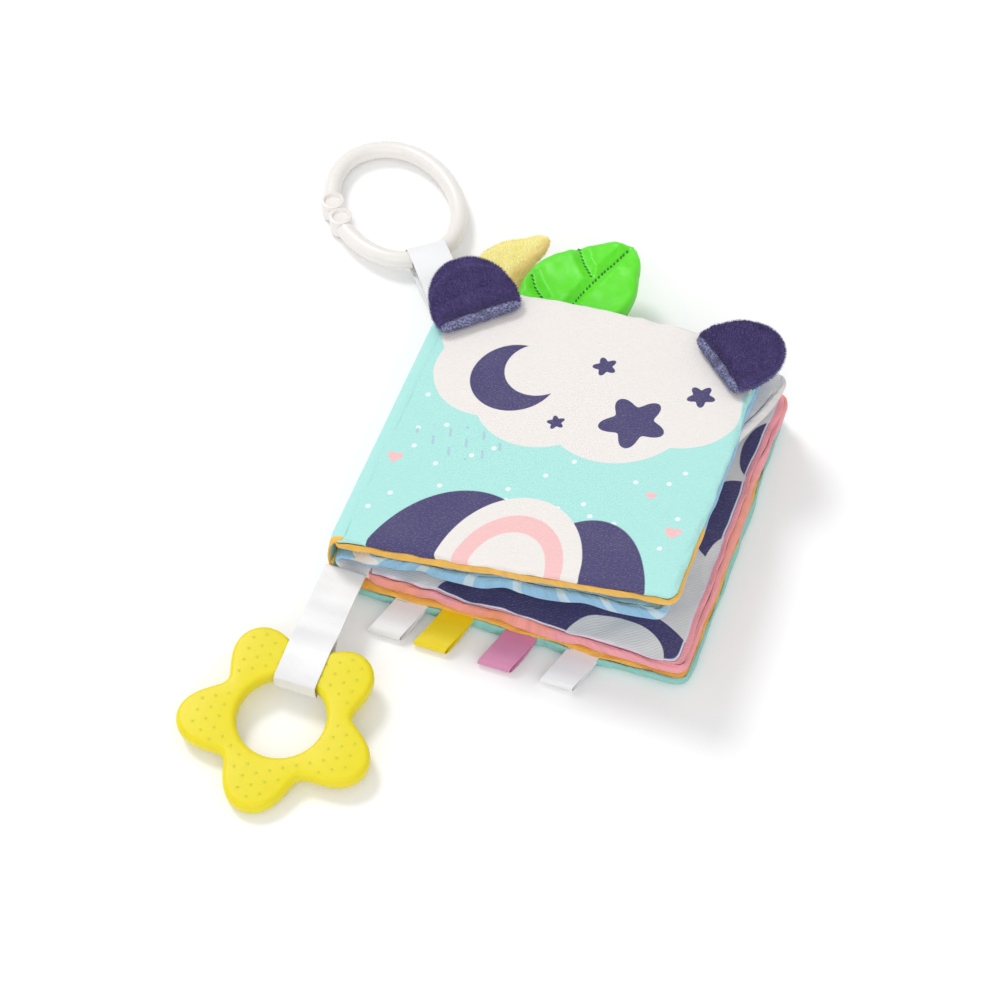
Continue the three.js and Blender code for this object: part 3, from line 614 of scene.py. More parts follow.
def horn_plush():
    """Pale terry, with painted shade: deeper in colour on the side that faces down and to the fore
    edge, away from the light.
    """
    cloth = Finish(
        "horn_plush", 1.0, sheen_weight=0.3, sheen_roughness=0.5, sheen_tint=(1, 0.85, 0.5, 1)
    )
    mm = cloth.object_mm()
    loops = cloth.noise(mm, 1.1, 3)
    x, y, _ = cloth.split(mm)
    middle = cloth.weighted(y, 0.32, -97.5)  # the horn's leaning middle line
    # Painted shade: deeper in colour on the side that faces down and to the fore edge
    side = cloth.weighted(cloth.noise(mm, 0.15), 3, cloth.math("SUBTRACT", x, middle))
    base = cloth.mix(cloth.ramp(side, 0.3, -1.0), tone("horn"), tone("horn_shade"))
    cloth.set("Base Color", cloth.mix(cloth.times(loops, 0.25), base, TERRY_LIGHT))
    cloth.bump(loops, 0.25)
    return cloth.material


def satin(name, base, ribs=True, depth=0.35, gloss=0.38, creased=0.06):
    """Satin: a close sheen with fine ribs across it, slow creases, and broad darker bands along it,
    painted shade for the satin's changing sheen.
    """
    cloth = Finish(
        name, gloss, sheen_weight=0.06, sheen_roughness=0.3, specular_ior_level=0.55,
        anisotropic=0.5,
    )
    mm = cloth.cut_mm()
    rib = cloth.ridges(mm, 0.55, 0, 0.6) if ribs else cloth.noise(mm, 0.5)
    creases = cloth.noise(mm, 0.11, 3)
    # Painted shade: broad darker bands along the cloth, as strong as the depth share
    painted_shade_bands = cloth.noise(cloth.vector("MULTIPLY", mm, (0.2, 1, 0)), 0.085, 1)
    tint = cloth.times(cloth.ramp(painted_shade_bands, 1.7, -0.66), depth)
    cloth.set("Base Color", cloth.mix(tint, tone(base), cloth.darker(tone(base), 0.6)))
    cloth.bump(cloth.weighted(creases, 3.0, rib), creased)
    return cloth.material


def mottled(finish, pattern, share, base):
    """Tints a base colour darker by a pattern."""
    factor = finish.times(pattern, share) if share < 1 else pattern
    finish.set("Base Color", finish.mix(factor, tone(base), finish.darker(tone(base))))


def thread(name, base):
    """Twisted sewing thread."""
    cloth = Finish(name, 0.6, sheen_weight=0.2)
    twist = cloth.ridges(cloth.object_mm(), 0.5, 0.5)
    mottled(cloth, twist, 0.3, base)
    cloth.bump(twist, 0.1)
    return cloth.material


def moulded(name, base, roughness, dull, grain, **values):
    """A moulding with a faint grain and handling marks."""
    skin = Finish(name, roughness, **values)
    mm = skin.object_mm()
    marks = skin.noise(mm, 0.06, 4)
    mottled(skin, marks, 0.25, base)
    skin.set("Roughness", skin.weighted(marks, dull, roughness - dull / 2))
    skin.bump(skin.noise(mm, grain), 0.02)
    return skin.material


def soft_filling(name, base, scale):
    """Foam, film or fibre inside the cloth."""
    inside = Finish(name, 0.8)
    cells = inside.noise(inside.object_mm(), scale, 3)
    mottled(inside, cells, 1, base)
    inside.bump(cells, 0.3)
    return inside.material


# Meshes


@contextmanager
def edit_mode():
    """Edit mode of the active piece, left again at the end."""
    bpy.ops.object.mode_set(mode="EDIT")
    yield
    bpy.ops.object.mode_set(mode="OBJECT")


def choose(*pieces):
    """Selects these pieces only and makes the first active."""
    if bpy.context.object and bpy.context.object.mode != "OBJECT":
        bpy.ops.object.mode_set(mode="OBJECT")
    bpy.ops.object.select_all(action="DESELECT")
    for piece in pieces:
        piece.select_set(True)
    if pieces:
        bpy.context.view_layer.objects.active = pieces[0]


def join_to(piece, *others):
    """Joins other pieces to a piece."""
    choose(piece, *others)
    bpy.ops.object.join()


def placed(name, mesh):
    """A mesh as an object in the scene."""
    piece = bpy.data.objects.new(name, mesh)
    bpy.context.collection.objects.link(piece)
    return piece


def mesh_piece(name, points, faces, cut=None):
    """A piece from points in millimetres, with its cloth's flat cut as a UV map."""
    mesh = bpy.data.meshes.new(name)
    mesh.from_pydata([Vector(p) * MM for p in points], [], faces)
    if cut:
        layer = mesh.uv_layers.new(name="cut")
        for loop in mesh.loops:
            x, y = cut[loop.vertex_index]
            layer.data[loop.index].uv = (x / CUT_SPAN + 0.5, y / CUT_SPAN + 0.5)
    mesh.update()
    return placed(name, mesh)


def apply(piece, kind, **settings):
    """Adds a modifier with these settings and applies it."""
    choose(piece)
    modifier = piece.modifiers.new(kind.title(), kind)
    for name, value in settings.items():
        setattr(modifier, name, value)
    bpy.ops.object.modifier_apply(modifier=modifier.name)


def rounded_off(piece, levels=1):
    """Rounds a piece by subdivision."""
    apply(piece, "SUBSURF", levels=levels, render_levels=levels)


def bevelled(piece, width, segments, degrees):
    """Rounds a piece's sharp edges."""
    apply(
        piece, "BEVEL", width=width * MM, segments=segments, limit_method="ANGLE",
        angle_limit=math.radians(degrees),
    )


def outward(piece):
    """Turns a closed mesh's faces outwards."""
    choose(piece)
    with edit_mode():
        bpy.ops.mesh.select_all(action="SELECT")
        bpy.ops.mesh.normals_make_consistent(inside=False)


def thicken(piece, thickness):
    """Gives a sheet its thickness, inwards, and rounds it."""
    apply(piece, "SOLIDIFY", thickness=thickness * MM, offset=-1, use_even_offset=False)
    rounded_off(piece)


def walled(piece, thickness, offset=0, levels=1):
    """Gives a band its thickness as a closed wall, and rounds it."""
    apply(piece, "SOLIDIFY", thickness=thickness * MM, offset=offset)
    outward(piece)
    rounded_off(piece, levels)


def dress(piece, material, body, slot, *nodes):
    """Finishes a piece, hangs it on what it rides on and hides the frame nodes it stands for; the
    slot it takes its finish from is not used.
    """
    piece.data.materials.clear()
    piece.data.materials.append(material)
    choose(piece)
    bpy.ops.object.shade_smooth()
    if body:
        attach(piece, body)
    if nodes:
        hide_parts(*nodes)
    return piece


def sharp_edged(piece, degrees):
    """Keeps a piece's edges over an angle sharp in shading."""
    choose(piece)
    bpy.ops.object.shade_smooth_by_angle(angle=math.radians(degrees))


def grid_faces(columns, rows, up=True):
    """Quads of a grid of points stored column by column."""
    faces = []
    for i in range(columns - 1):
        for j in range(rows - 1):
            a = i * rows + j
            quad = (a, a + rows, a + rows + 1, a + 1)
            faces.append(quad if up else quad[::-1])
    return faces


def tube_faces(start, rings, around):
    """Quads between rings of points, and the two ends."""
    faces = []
    for i in range(rings - 1):
        for k in range(around):
            a, b = start + i * around + k, start + i * around + (k + 1) % around
            faces.append((a, b, b + around, a + around))
    faces.append(tuple(start + k for k in range(around))[::-1])
    faces.append(tuple(start + (rings - 1) * around + k for k in range(around)))
    return faces


def on_rim(i, j, columns, rows):
    return i in (0, columns - 1) or j in (0, rows - 1)


def inflate(upper, lower, columns, rows, pins, pressure, growth, cap):
    """Two sheets sewn along their rim and blown up a little, as cloth, in their flat frame."""
    points = list(upper)
    places = []  # of the lower sheet's points, which share the upper sheet's rim
    for k, point in enumerate(lower):
        if on_rim(*divmod(k, rows), columns, rows):
            places.append(k)
        else:
            places.append(len(points))
            points.append(point)
    faces = grid_faces(columns, rows)
    faces += [tuple(places[k] for k in face) for face in grid_faces(columns, rows, up=False)]
    blown = mesh_piece("pattern", points, faces)
    blown.vertex_groups.new(name="held").add(sorted(pins), 1.0, "REPLACE")
    modifier = blown.modifiers.new("Cloth", "CLOTH")
    settings = modifier.settings
    for name, value in CLOTH_SETTINGS.items():
        setattr(settings, name, value)
    settings.uniform_pressure_force = pressure
    settings.shrink_min = -growth
    settings.vertex_group_mass = "held"
    settings.effector_weights.gravity = 0
    modifier.collision_settings.use_collision = False
    modifier.point_cache.frame_start = 1
    modifier.point_cache.frame_end = SIMULATION_FRAMES
    scene = bpy.context.scene
    for step in range(1, SIMULATION_FRAMES + 1):
        scene.frame_set(step)
    shaped = blown.evaluated_get(bpy.context.evaluated_depsgraph_get())
    moved = [vertex.co / MM for vertex in shaped.data.vertices]
    bpy.data.objects.remove(blown)
    scene.frame_set(1)
    for k, point in enumerate(points):
        step = moved[k] - Vector(point)
        moved[k] = Vector(point) + step * min(1, cap / max(step.length, 1e-9))
    return moved[: len(upper)], [moved[k] for k in places]


# Leaves


class LeafPlace:
    """Puts a point of a leaf (from its hinge, to the head, above its middle) in the book."""

    def __init__(self, hinge, tilt, twist):
        self.hinge, self.tilt, self.twist = hinge, tilt, twist

    def turn(self, v):
        angle = self.tilt - self.twist * v / (size("book_height") / 2)
        return math.cos(angle), math.sin(angle)

    def __call__(self, u, v, w):
        cosine, sine = self.turn(v)
        x = self.hinge[0] + u * cosine - w * sine
        z = self.hinge[1] + u * sine + w * cosine
        return Vector((x, v, z))

    def back(self, spot):
        """The way back, from the book to the leaf."""
        cosine, sine = self.turn(spot[1])
        x, z = spot[0] - self.hinge[0], spot[2] - self.hinge[1]
        return Vector((x * cosine + z * sine, spot[1], z * cosine - x * sine))


LEAF_PLACES = {
    "front_cover": LeafPlace(COVER_HINGE, UPPER_TILT, UPPER_TWIST),
    "second_leaf": LeafPlace(SECOND_HINGE, UPPER_TILT, UPPER_TWIST),
    "third_leaf": LeafPlace(THIRD_HINGE, THIRD_TILT, 0),
    "book_back": LeafPlace((0, BACK_MIDDLE), 0, 0),
}


def edge_profile(seam, end, steps):
    """(inset, height) round a leaf's blunt edge, from the seam to the flat."""
    half = size("leaf_thickness") / 2
    profile = []
    for k in range(steps + 1):
        angle = math.radians(seam + (end - seam) * k / steps)
        inwards = 1 - max(math.cos(angle), 0) ** EDGE_BLUNTNESS
        rise = math.copysign(abs(math.sin(angle)) ** EDGE_BLUNTNESS, angle)
        profile.append([EDGE_ROLL * inwards, half * rise])
    profile[0][0] += 0.6  # the seam pulls in
    return profile


class LeafCut:
    """One fabric of a leaf as a grid of rings that follow the leaf's outline."""

    def __init__(self, width, height, profile, shares=None):
        self.profile = profile
        self.edge = len(profile) - 1
        self.run = [0]
        for first, second in zip(profile, profile[1:]):
            self.run.append(self.run[-1] + math.dist(first, second))
        self.spare = self.run[-1] - profile[-1][0]
        self.across = self.halves(width / 2)
        self.along = self.halves(height / 2)
        axes = (self.across, self.along)
        self.shares = shares or [[level[1] / axis[0][1] for level in axis] for axis in axes]

    def halves(self, half):
        """For each ring: its half size in place, its half size on the flat cut."""
        flat = half - self.profile[-1][0]
        steps = LEAF_LEVELS - self.edge
        rings = [
            (half - inset, half + self.spare - run)
            for (inset, _), run in zip(self.profile, self.run)
        ]
        return rings + [(flat * (1 - k / steps),) * 2 for k in range(1, steps + 1)]

    def points(self):
        """Places, flat cuts, distances from the seam and seam places, column by column."""
        last = 2 * LEAF_LEVELS
        return [self.point(i, j, last) for i in range(last + 1) for j in range(last + 1)]

    def point(self, i, j, last):
        levels = [min(i, last - i), min(j, last - j)]
        signs = [1 if i > LEAF_LEVELS else -1, 1 if j > LEAF_LEVELS else -1]
        ring = min(levels)
        other = 1 if levels[0] <= levels[1] else 0
        table = self.shares[other]
        share = [1, 1]
        share[other] = table[levels[other]] / table[ring] if table[ring] else 0
        level = min(ring, self.edge)
        corner = HINGE_CORNER if signs[0] < 0 else LEAF_CORNER
        spots = []
        for kind, inset in ((0, self.profile[level][0]), (1, self.run[level] - self.spare)):
            spans = [self.across[ring][kind], self.along[ring][kind]]
            spot = [signs[k] * spans[k] * share[k] for k in (0, 1)]
            spots.append(self.rounded(spot, spans, max(corner - inset, LEAST_CORNER)))
        edges = [self.across[0][0], self.along[0][0]]
        seam = [signs[k] * edges[k] * share[k] for k in (0, 1)]
        away = self.along[0][1] - self.along[ring][1]
        return (*spots[0], self.profile[level][1]), tuple(spots[1]), away, seam

    @staticmethod
    def rounded(spot, spans, radius):
        """Rounds a ring's corner."""
        deep = [abs(spot[k]) - (spans[k] - radius) for k in (0, 1)]
        if min(deep) <= 0:
            return spot
        dx, dy = deep
        angle = math.pi / 4 * (dy / dx if dx >= dy else 2 - dx / dy)
        out = (max(deep) * math.cos(angle), max(deep) * math.sin(angle))
        return [math.copysign(spans[k] - radius + out[k], spot[k]) for k in (0, 1)]


PLEAT_LENGTH = 6
WANDER_LENGTH = 30


def pucker(spot, seam, away, seed, amount, folds):
    """Small pleats from the seam, a slow wander of the edge, and deeper folds at the tail."""
    here = Vector((seam[0] / PLEAT_LENGTH, seam[1] / PLEAT_LENGTH, seed + away / 30))
    slow = Vector((seam[0] / WANDER_LENGTH, seam[1] / WANDER_LENGTH, seed + 7.3))
    outwards = Vector((spot[0], spot[1], 0)).normalized()
    waves = noise.noise(here * 0.7 + Vector((3, 1, 2))) + 1.8 * noise.noise(slow)
    push = 0.8 * amount * math.exp(-away / 12) * waves
    lift = amount * math.exp(-away / 6) * noise.noise(here)
    drift = 0.6 * amount * noise.noise(slow + Vector((0, 0, 4))) * math.exp(-away / 25)
    moved = Vector(spot) + outwards * push + Vector((0, 0, lift + drift))
    if spot[1] < 0:
        for place, depth, wide in folds:
            near = math.exp(-(((spot[0] - place) / wide) ** 2) - ((away - 7) / 6) ** 2)
            moved += Vector((0, depth * near, 0.7 * depth * near))
    return moved


def bent(spot, width, height, bend):
    """A leaf's point after the leaf's own slow bend."""
    if not bend:
        return spot
    return spot + Vector(bend(max(spot[0] / width, 0), spot[1] / height * 2, spot[2]))


def add_leaf(body, width, fabrics, filling, *, seam, seed, pull, first=HINGE_ALLOWANCE,
             proud=0.5, folds=(), bend=None):
    """A padded leaf: two fabrics sewn round their edge, each (name, material, slot)."""
    place = LEAF_PLACES[body]
    half = size("leaf_thickness") / 2
    height = size("book_height") + 2 * proud
    wide = width + proud
    step = 12  # degrees of the edge's round from ring to ring
    top_rings = max(2, round((90 - seam) / step))
    under_rings = max(4, round((90 + seam) / step))
    top = LeafCut(wide, height, edge_profile(seam, 90, top_rings))
    under = LeafCut(wide, height, edge_profile(seam + 4, -90, under_rings), top.shares)
    count = 2 * LEAF_LEVELS + 1
    plans = [top.points(), under.points()]
    flats = [[Vector(p[0]) for p in plan] for plan in plans]
    rim = [k for k in range(count * count) if on_rim(*divmod(k, count), count, count)]
    sheets = inflate(*flats, count, count, rim, pressure=1.2, growth=0.012, cap=0.8)
    most = half + 0.2
    for (node, material, slot), plan, sheet, up in zip(fabrics, plans, sheets, (True, False)):
        points = []
        for (_, _, away, edge), point in zip(plan, sheet):
            point = Vector((point[0], point[1], max(min(point[2], most), -most)))
            spot = pucker(point, edge, away, seed, pull, folds)
            spot = Vector((spot[0] + wide / 2, spot[1], max(spot[2], -half)))
            spot = bent(spot, width, height, bend)
            points.append(place(spot[0] + first, spot[1], spot[2]))
        cut = [p[1] for p in plan]
        piece = mesh_piece(f"{node}_cloth", points, grid_faces(count, count, up), cut)
        thicken(piece, CLOTH_THICKNESS)
        dress(piece, material, body, slot, node)
    leaf = "_".join(fabrics[0][0].split("_")[:2])
    for slot, finish in filling.items():
        fill_leaf(f"{leaf}_{slot}", body, width, first, bend, height, finish, slot)


def fill_leaf(node_name, body, width, first, bend, height, finish, slot):
    """The foam or the film inside a leaf, bent with it."""
    place = LEAF_PLACES[body]
    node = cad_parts[node_name]
    mesh = node.data.copy()
    mesh.transform(node.matrix_world)
    for vertex in mesh.vertices:
        spot = place.back(vertex.co / MM)
        spot[0] -= first
        across = (spot[0] - width / 2) * FILLING_SHARE + width / 2
        spot = bent(Vector((across, spot[1] * FILLING_SHARE, spot[2])), width, height, bend)
        vertex.co = place(spot[0] + first, spot[1], spot[2]) * MM
    dress(placed(f"{node_name}_sheet", mesh), finish, body, slot, node_name)


# Ribbons


def ribbon_matrix(origin, bearing, drop):
    """A ribbon's frame: X along it, Y above it, Z across it, in millimetres."""
    level = math.cos(drop)
    along = Vector((math.cos(bearing) * level, math.sin(bearing) * level, -math.sin(drop)))
    across = Vector((math.sin(bearing), -math.cos(bearing), 0))
    matrix = Matrix((along, across.cross(along), across)).transposed().to_4x4()
    matrix.translation = Vector(origin)
    return matrix


def smooth_path(points, steps):
    """A smooth line through points of a plane."""
    points = [Vector(p) for p in points]
    line = []
    count = len(points)
    for k in range(count - 1):
        a, b, c, d = (points[min(max(k + step, 0), count - 1)] for step in (-1, 0, 1, 2))
        for s in range(steps):
            t = s / steps
            square = 2 * a - 5 * b + 4 * c - d
            cube = 3 * b - a - 3 * c + d
            line.append(0.5 * (2 * b + (c - a) * t + square * t**2 + cube * t**3))
    line.append(points[-1])
    return line


def round_turn(x, radius):
    """Side-view points of a ribbon's turn, from above to below."""
    angles = [math.radians(80 - 20 * k) for k in range(9)]
    return [(x + radius * math.cos(angle), radius * math.sin(angle)) for angle in angles]


RIBBON_SHARES = [-1, -0.96, -0.9, -0.6, -0.3, 0, 0.3, 0.6, 0.9, 0.96, 1]
RIBBON_RIPPLE = 0.18


def ribbon(name, matrix, path, width, ply, material, body, slot, nodes, lean=0.0, bow=0.0,
           seed=0.0):
    """A woven ribbon that follows a side-view path, with thick selvedges and a slight ripple."""
    points, cut = [], []
    run = 0
    far = path[len(path) // 2][0]
    for k, (x, y) in enumerate(path):
        if k:
            run += (path[k] - path[k - 1]).length
        slant = lean * x * (0.75 + 0.25 * x / far)
        for share in RIBBON_SHARES:
            ripple = RIBBON_RIPPLE * noise.noise(Vector((run / 9, share * 1.4, seed)))
            across = share * width / 2
            up = y + ripple - bow * share * share
            points.append(matrix @ Vector((x, up, across + slant)))
            cut.append((across, run - 60))
    piece = mesh_piece(name, points, grid_faces(len(path), len(RIBBON_SHARES)), cut)
    walled(piece, ply)
    dress(piece, material, body, slot, *nodes)
    return piece


# Operators


class Step(bpy.types.Operator):
    """A step in making the cloth book."""

    bl_options = {"REGISTER", "UNDO"}

    def execute(self, context):
        self.make()
        return {"FINISHED"}


class CLOTHBOOK_OT_stage(Step):
    """Make the floor, the lights and the camera"""

    bl_idname = "clothbook.stage"
    bl_label = "Add Stage"

    def make(self):
        self.floor()
        world = bpy.data.worlds.new("studio")
        world.use_nodes = True
        world.node_tree.nodes["Background"].inputs[0].default_value = (1, 1, 1, 1)
        world.node_tree.nodes["Background"].inputs[1].default_value = 0.62
        bpy.context.scene.world = world
        self.sun("key", Vector((0.62, -0.42, -1.0)), 1.15, 18)
        self.sun("fill", Vector((-0.2, 0.85, -0.62)), 0.85, 60)
        self.camera()
        bpy.context.scene.view_settings.view_transform = "Standard"

    def floor(self):
        choose()
        bpy.ops.mesh.primitive_plane_add(size=6, location=(0, 0, -0.0004))
        floor = bpy.context.object
        floor.name = "floor"
        paper = Finish("floor_paper", 0.9)
        grain = paper.noise(paper.object_mm(), 0.02)
        dark, light = (0.93, 0.93, 0.93, 1), (0.95, 0.95, 0.95, 1)
        paper.set("Base Color", paper.mix(grain, dark, light))
        paper.set("Emission Color", (1, 1, 1, 1))
        rays = paper.add("ShaderNodeLightPath").outputs
        seen = paper.math("ADD", rays["Is Camera Ray"], rays["Is Glossy Ray"])
        seen = paper.math("ADD", seen, rays["Is Transmission Ray"], clamp=True)
        paper.set("Emission Strength", paper.times(seen, 0.1))
        floor.data.materials.append(paper.material)

    def sun(self, name, direction, strength, softness):
        bpy.ops.object.light_add(type="SUN", location=-2 * direction)
        lamp = bpy.context.object
        lamp.name = name
        lamp.data.energy = strength
        lamp.data.angle = math.radians(softness)
        lamp.rotation_mode = "QUATERNION"
        lamp.rotation_quaternion = direction.to_track_quat("-Z", "Y")

    def camera(self):
        level = math.cos(CAMERA_PITCH)
        x, y = math.sin(CAMERA_AZIMUTH) * level, -math.cos(CAMERA_AZIMUTH) * level
        back = Vector((x, y, math.sin(CAMERA_PITCH)))
        bpy.ops.object.camera_add(location=CAMERA_TARGET + back * CAMERA_DISTANCE)
        camera = bpy.context.object
        camera.name = "camera"
        camera.rotation_mode = "QUATERNION"
        camera.rotation_quaternion = (-back).to_track_quat("-Z", "Y")
        camera.data.lens = CAMERA_LENS
        camera.data.sensor_width = SENSOR_WIDTH
        camera.data.sensor_fit = "HORIZONTAL"
        bpy.context.scene.camera = camera


def between(table, along):
    """A smooth look-up in rows of (along, values...)."""
    last = len(table) - 1
    k = next((k for k in range(last) if along <= table[k + 1][0]), last - 1)
    low, high = table[k], table[k + 1]
    before, after = table[max(k - 1, 0)], table[min(k + 2, last)]
    step = high[0] - low[0]
    t = (along - low[0]) / step
    values = []
    for c in range(1, len(low)):
        m0 = (high[c] - before[c]) / max(high[0] - before[0], 1e-6) * step
        m1 = (after[c] - low[c]) / max(after[0] - low[0], 1e-6) * step
        values.append(
            low[c] * (2 * t**3 - 3 * t**2 + 1) + m0 * (t**3 - 2 * t**2 + t)
            + high[c] * (3 * t**2 - 2 * t**3) + m1 * (t**3 - t**2)
        )
    return values


# How far the second leaf's fore edge leaves its straight line, from tail to head
SECOND_FORE_EDGE = [(-1.05, -4), (-0.5, -6.6), (0, -8.8), (0.35, -6), (0.7, 1), (1.05, 3.8)]


# The leaves' slow bends, in millimetres, at a share a from the hinge to the fore edge, a
# share b from the tail (-1) to the head (1), and a height w


def back_cover_bend(a, b, w):
    far = a**3 * max(b, 0) ** 2
    return -3 * far, -0.5 * (1 - b), 0


def third_leaf_bend(a, b, w):
    far = a**3 * max(b, 0) ** 3
    half = size("leaf_thickness") / 2
    flat = 0.2 * (w + half) * max(-b, 0) ** 2 * min(2 * a, 1)
    return 0, -0.8 * a * (1 - b) - 1.5 * far, -1.4 * a * (1 - b) - 3 * far - flat


def second_leaf_bend(a, b, w):
    (wide,) = between(SECOND_FORE_EDGE, b)
    tail = max(-b, 0) ** 3
    far = max(b, 0) ** 2
    return wide * a**3, (2 - 3.4 * a) * tail - 1.5 * a**3 * far, -6.6 * a**2 * far


def front_cover_bend(a, b, w):
    return -2.7 * (1 + b) * a**2, 0, -1.2 * a**4 * max(b, 0) ** 2


class CLOTHBOOK_OT_leaves(Step):
    """Make the four padded leaves"""

    bl_idname = "clothbook.leaves"
    bl_label = "Add Leaves"

    def make(self):
        filling = {
            "foam": soft_filling("foam", "foam", 1.2),
            "crinkle_film": soft_filling("crinkle_film", "film", 0.2),
        }
        add_leaf(
            "book_back", size("back_width"),
            (
                ("back_cover_lining", back_lining_print(), "amber_cloth"),
                ("back_cover_outer_fabric", back_outer_print(), "teal_cloth"),
            ),
            filling, seam=34, seed=1.7, pull=1.0, first=SPINE_FACE + TOUCH, proud=0.7,
            folds=((-48, 1.0, 3), (-20, 0.7, 5), (14, 1.1, 3.5), (47, 0.9, 4)),
            bend=back_cover_bend,
        )
        add_leaf(
            "third_leaf", size("third_width"),
            (
                ("third_leaf_upper_fabric", third_upper_print(), "grey_print"),
                ("third_leaf_lower_fabric", third_lower_cloth(), "rose_cloth"),
            ),
            filling, seam=50, seed=5.1, pull=1.1, proud=0.8,
            folds=((-41, 1.5, 2.6), (-12, 1.0, 5), (24, 1.2, 4)), bend=third_leaf_bend,
        )
        add_leaf(
            "second_leaf", size("second_width"),
            (
                ("second_leaf_upper_fabric", second_upper_print(), "grey_print"),
                ("second_leaf_lower_fabric", second_lower_print(), "sky_cloth"),
            ),
            filling, seam=58, seed=8.4, pull=0.9, proud=0.3,
            folds=((-44, 1.8, 4), (-6, 2.0, 6), (30, 1.3, 7)), bend=second_leaf_bend,
        )
        add_leaf(
            "front_cover", size("front_width"),
            (
                ("front_cover_printed_face", cover_print(), "cover_print"),
                ("front_cover_lining", cover_lining_print(), "amber_cloth"),
            ),
            filling, seam=13, seed=12.6, pull=0.9, bend=front_cover_bend,
        )


HINGE_COLUMNS = 61


def hinge_pad(name, section, half, material, slot, bodies, start, end):
    """Padded cloth over a hinge line: pairs of upper and lower spots, drawn along the book."""
    points, cut = [], []
    for j in range(HINGE_COLUMNS):
        s = 2 * j / (HINGE_COLUMNS - 1) - 1
        full = 0.3 + 0.7 * math.sqrt(1 - abs(s) ** 24)  # the ends are pinched
        pairs = []
        for above, below in section(s * half):
            middle = (Vector(above) + Vector(below)) / 2
            pairs.append([middle + (Vector(spot) - middle) * full for spot in (above, below)])
        loop = [pair[0] for pair in pairs] + [pair[1] for pair in pairs[::-1]]
        run = [0]
        for a, b in zip(loop, loop[1:]):
            run.append(run[-1] + (b - a).length)
        turn = len(loop) // 2
        for k, spot in enumerate(loop):
            dent = 0.3 * noise.noise(Vector((s * half / 9, k * 0.4, half + start[2])))
            points.append((spot[0], s * half, spot[1] + dent))
            cut.append(((run[turn] + run[turn - 1]) / 2 - run[k], s * half))
    pad = mesh_piece(name, points, tube_faces(0, HINGE_COLUMNS, len(loop)), cut)
    outward(pad)
    rounded_off(pad, 2)
    dress(pad, material, None, slot)
    Vector(start) * MM
    Vector(end) * MM
    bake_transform(pad)


def swept(path, across, dent):
    """Points of a cloth drawn along the book from a path seen along Y, with a slight unrest."""
    return [(x + dent(x, v, z), v, z) for x, z in path for v in across]


# Upper and lower spots round the cover's hinge, seen along Y: on the spine, and on the cover
COVER_TURN = [((-81.5, 25.2), (-80.2, 25.6)), ((-81.2, 28.6), (-79.4, 28.2)),
              ((-80.8, 31.0), (-78.8, 30.0))]
COVER_LAP = [((0.5, 2.7), (1.5, -0.6)), ((1.9, 4.0), (3.2, 0.2)),
             ((4.2, 4.6), (5.2, 1.6)), ((7, 4.2), (7, 3.2))]
# Half thicknesses of an inner leaf's hinge, on the fold and on the leaf
FOLD_TURN = ((-72.5, 1.3), (-70.5, 1.5), (-68.5, 1.9))
LEAF_LAP = ((-0.5, 2.6), (2, 3.6), (4.5, 4.35), (7.5, 4.1))


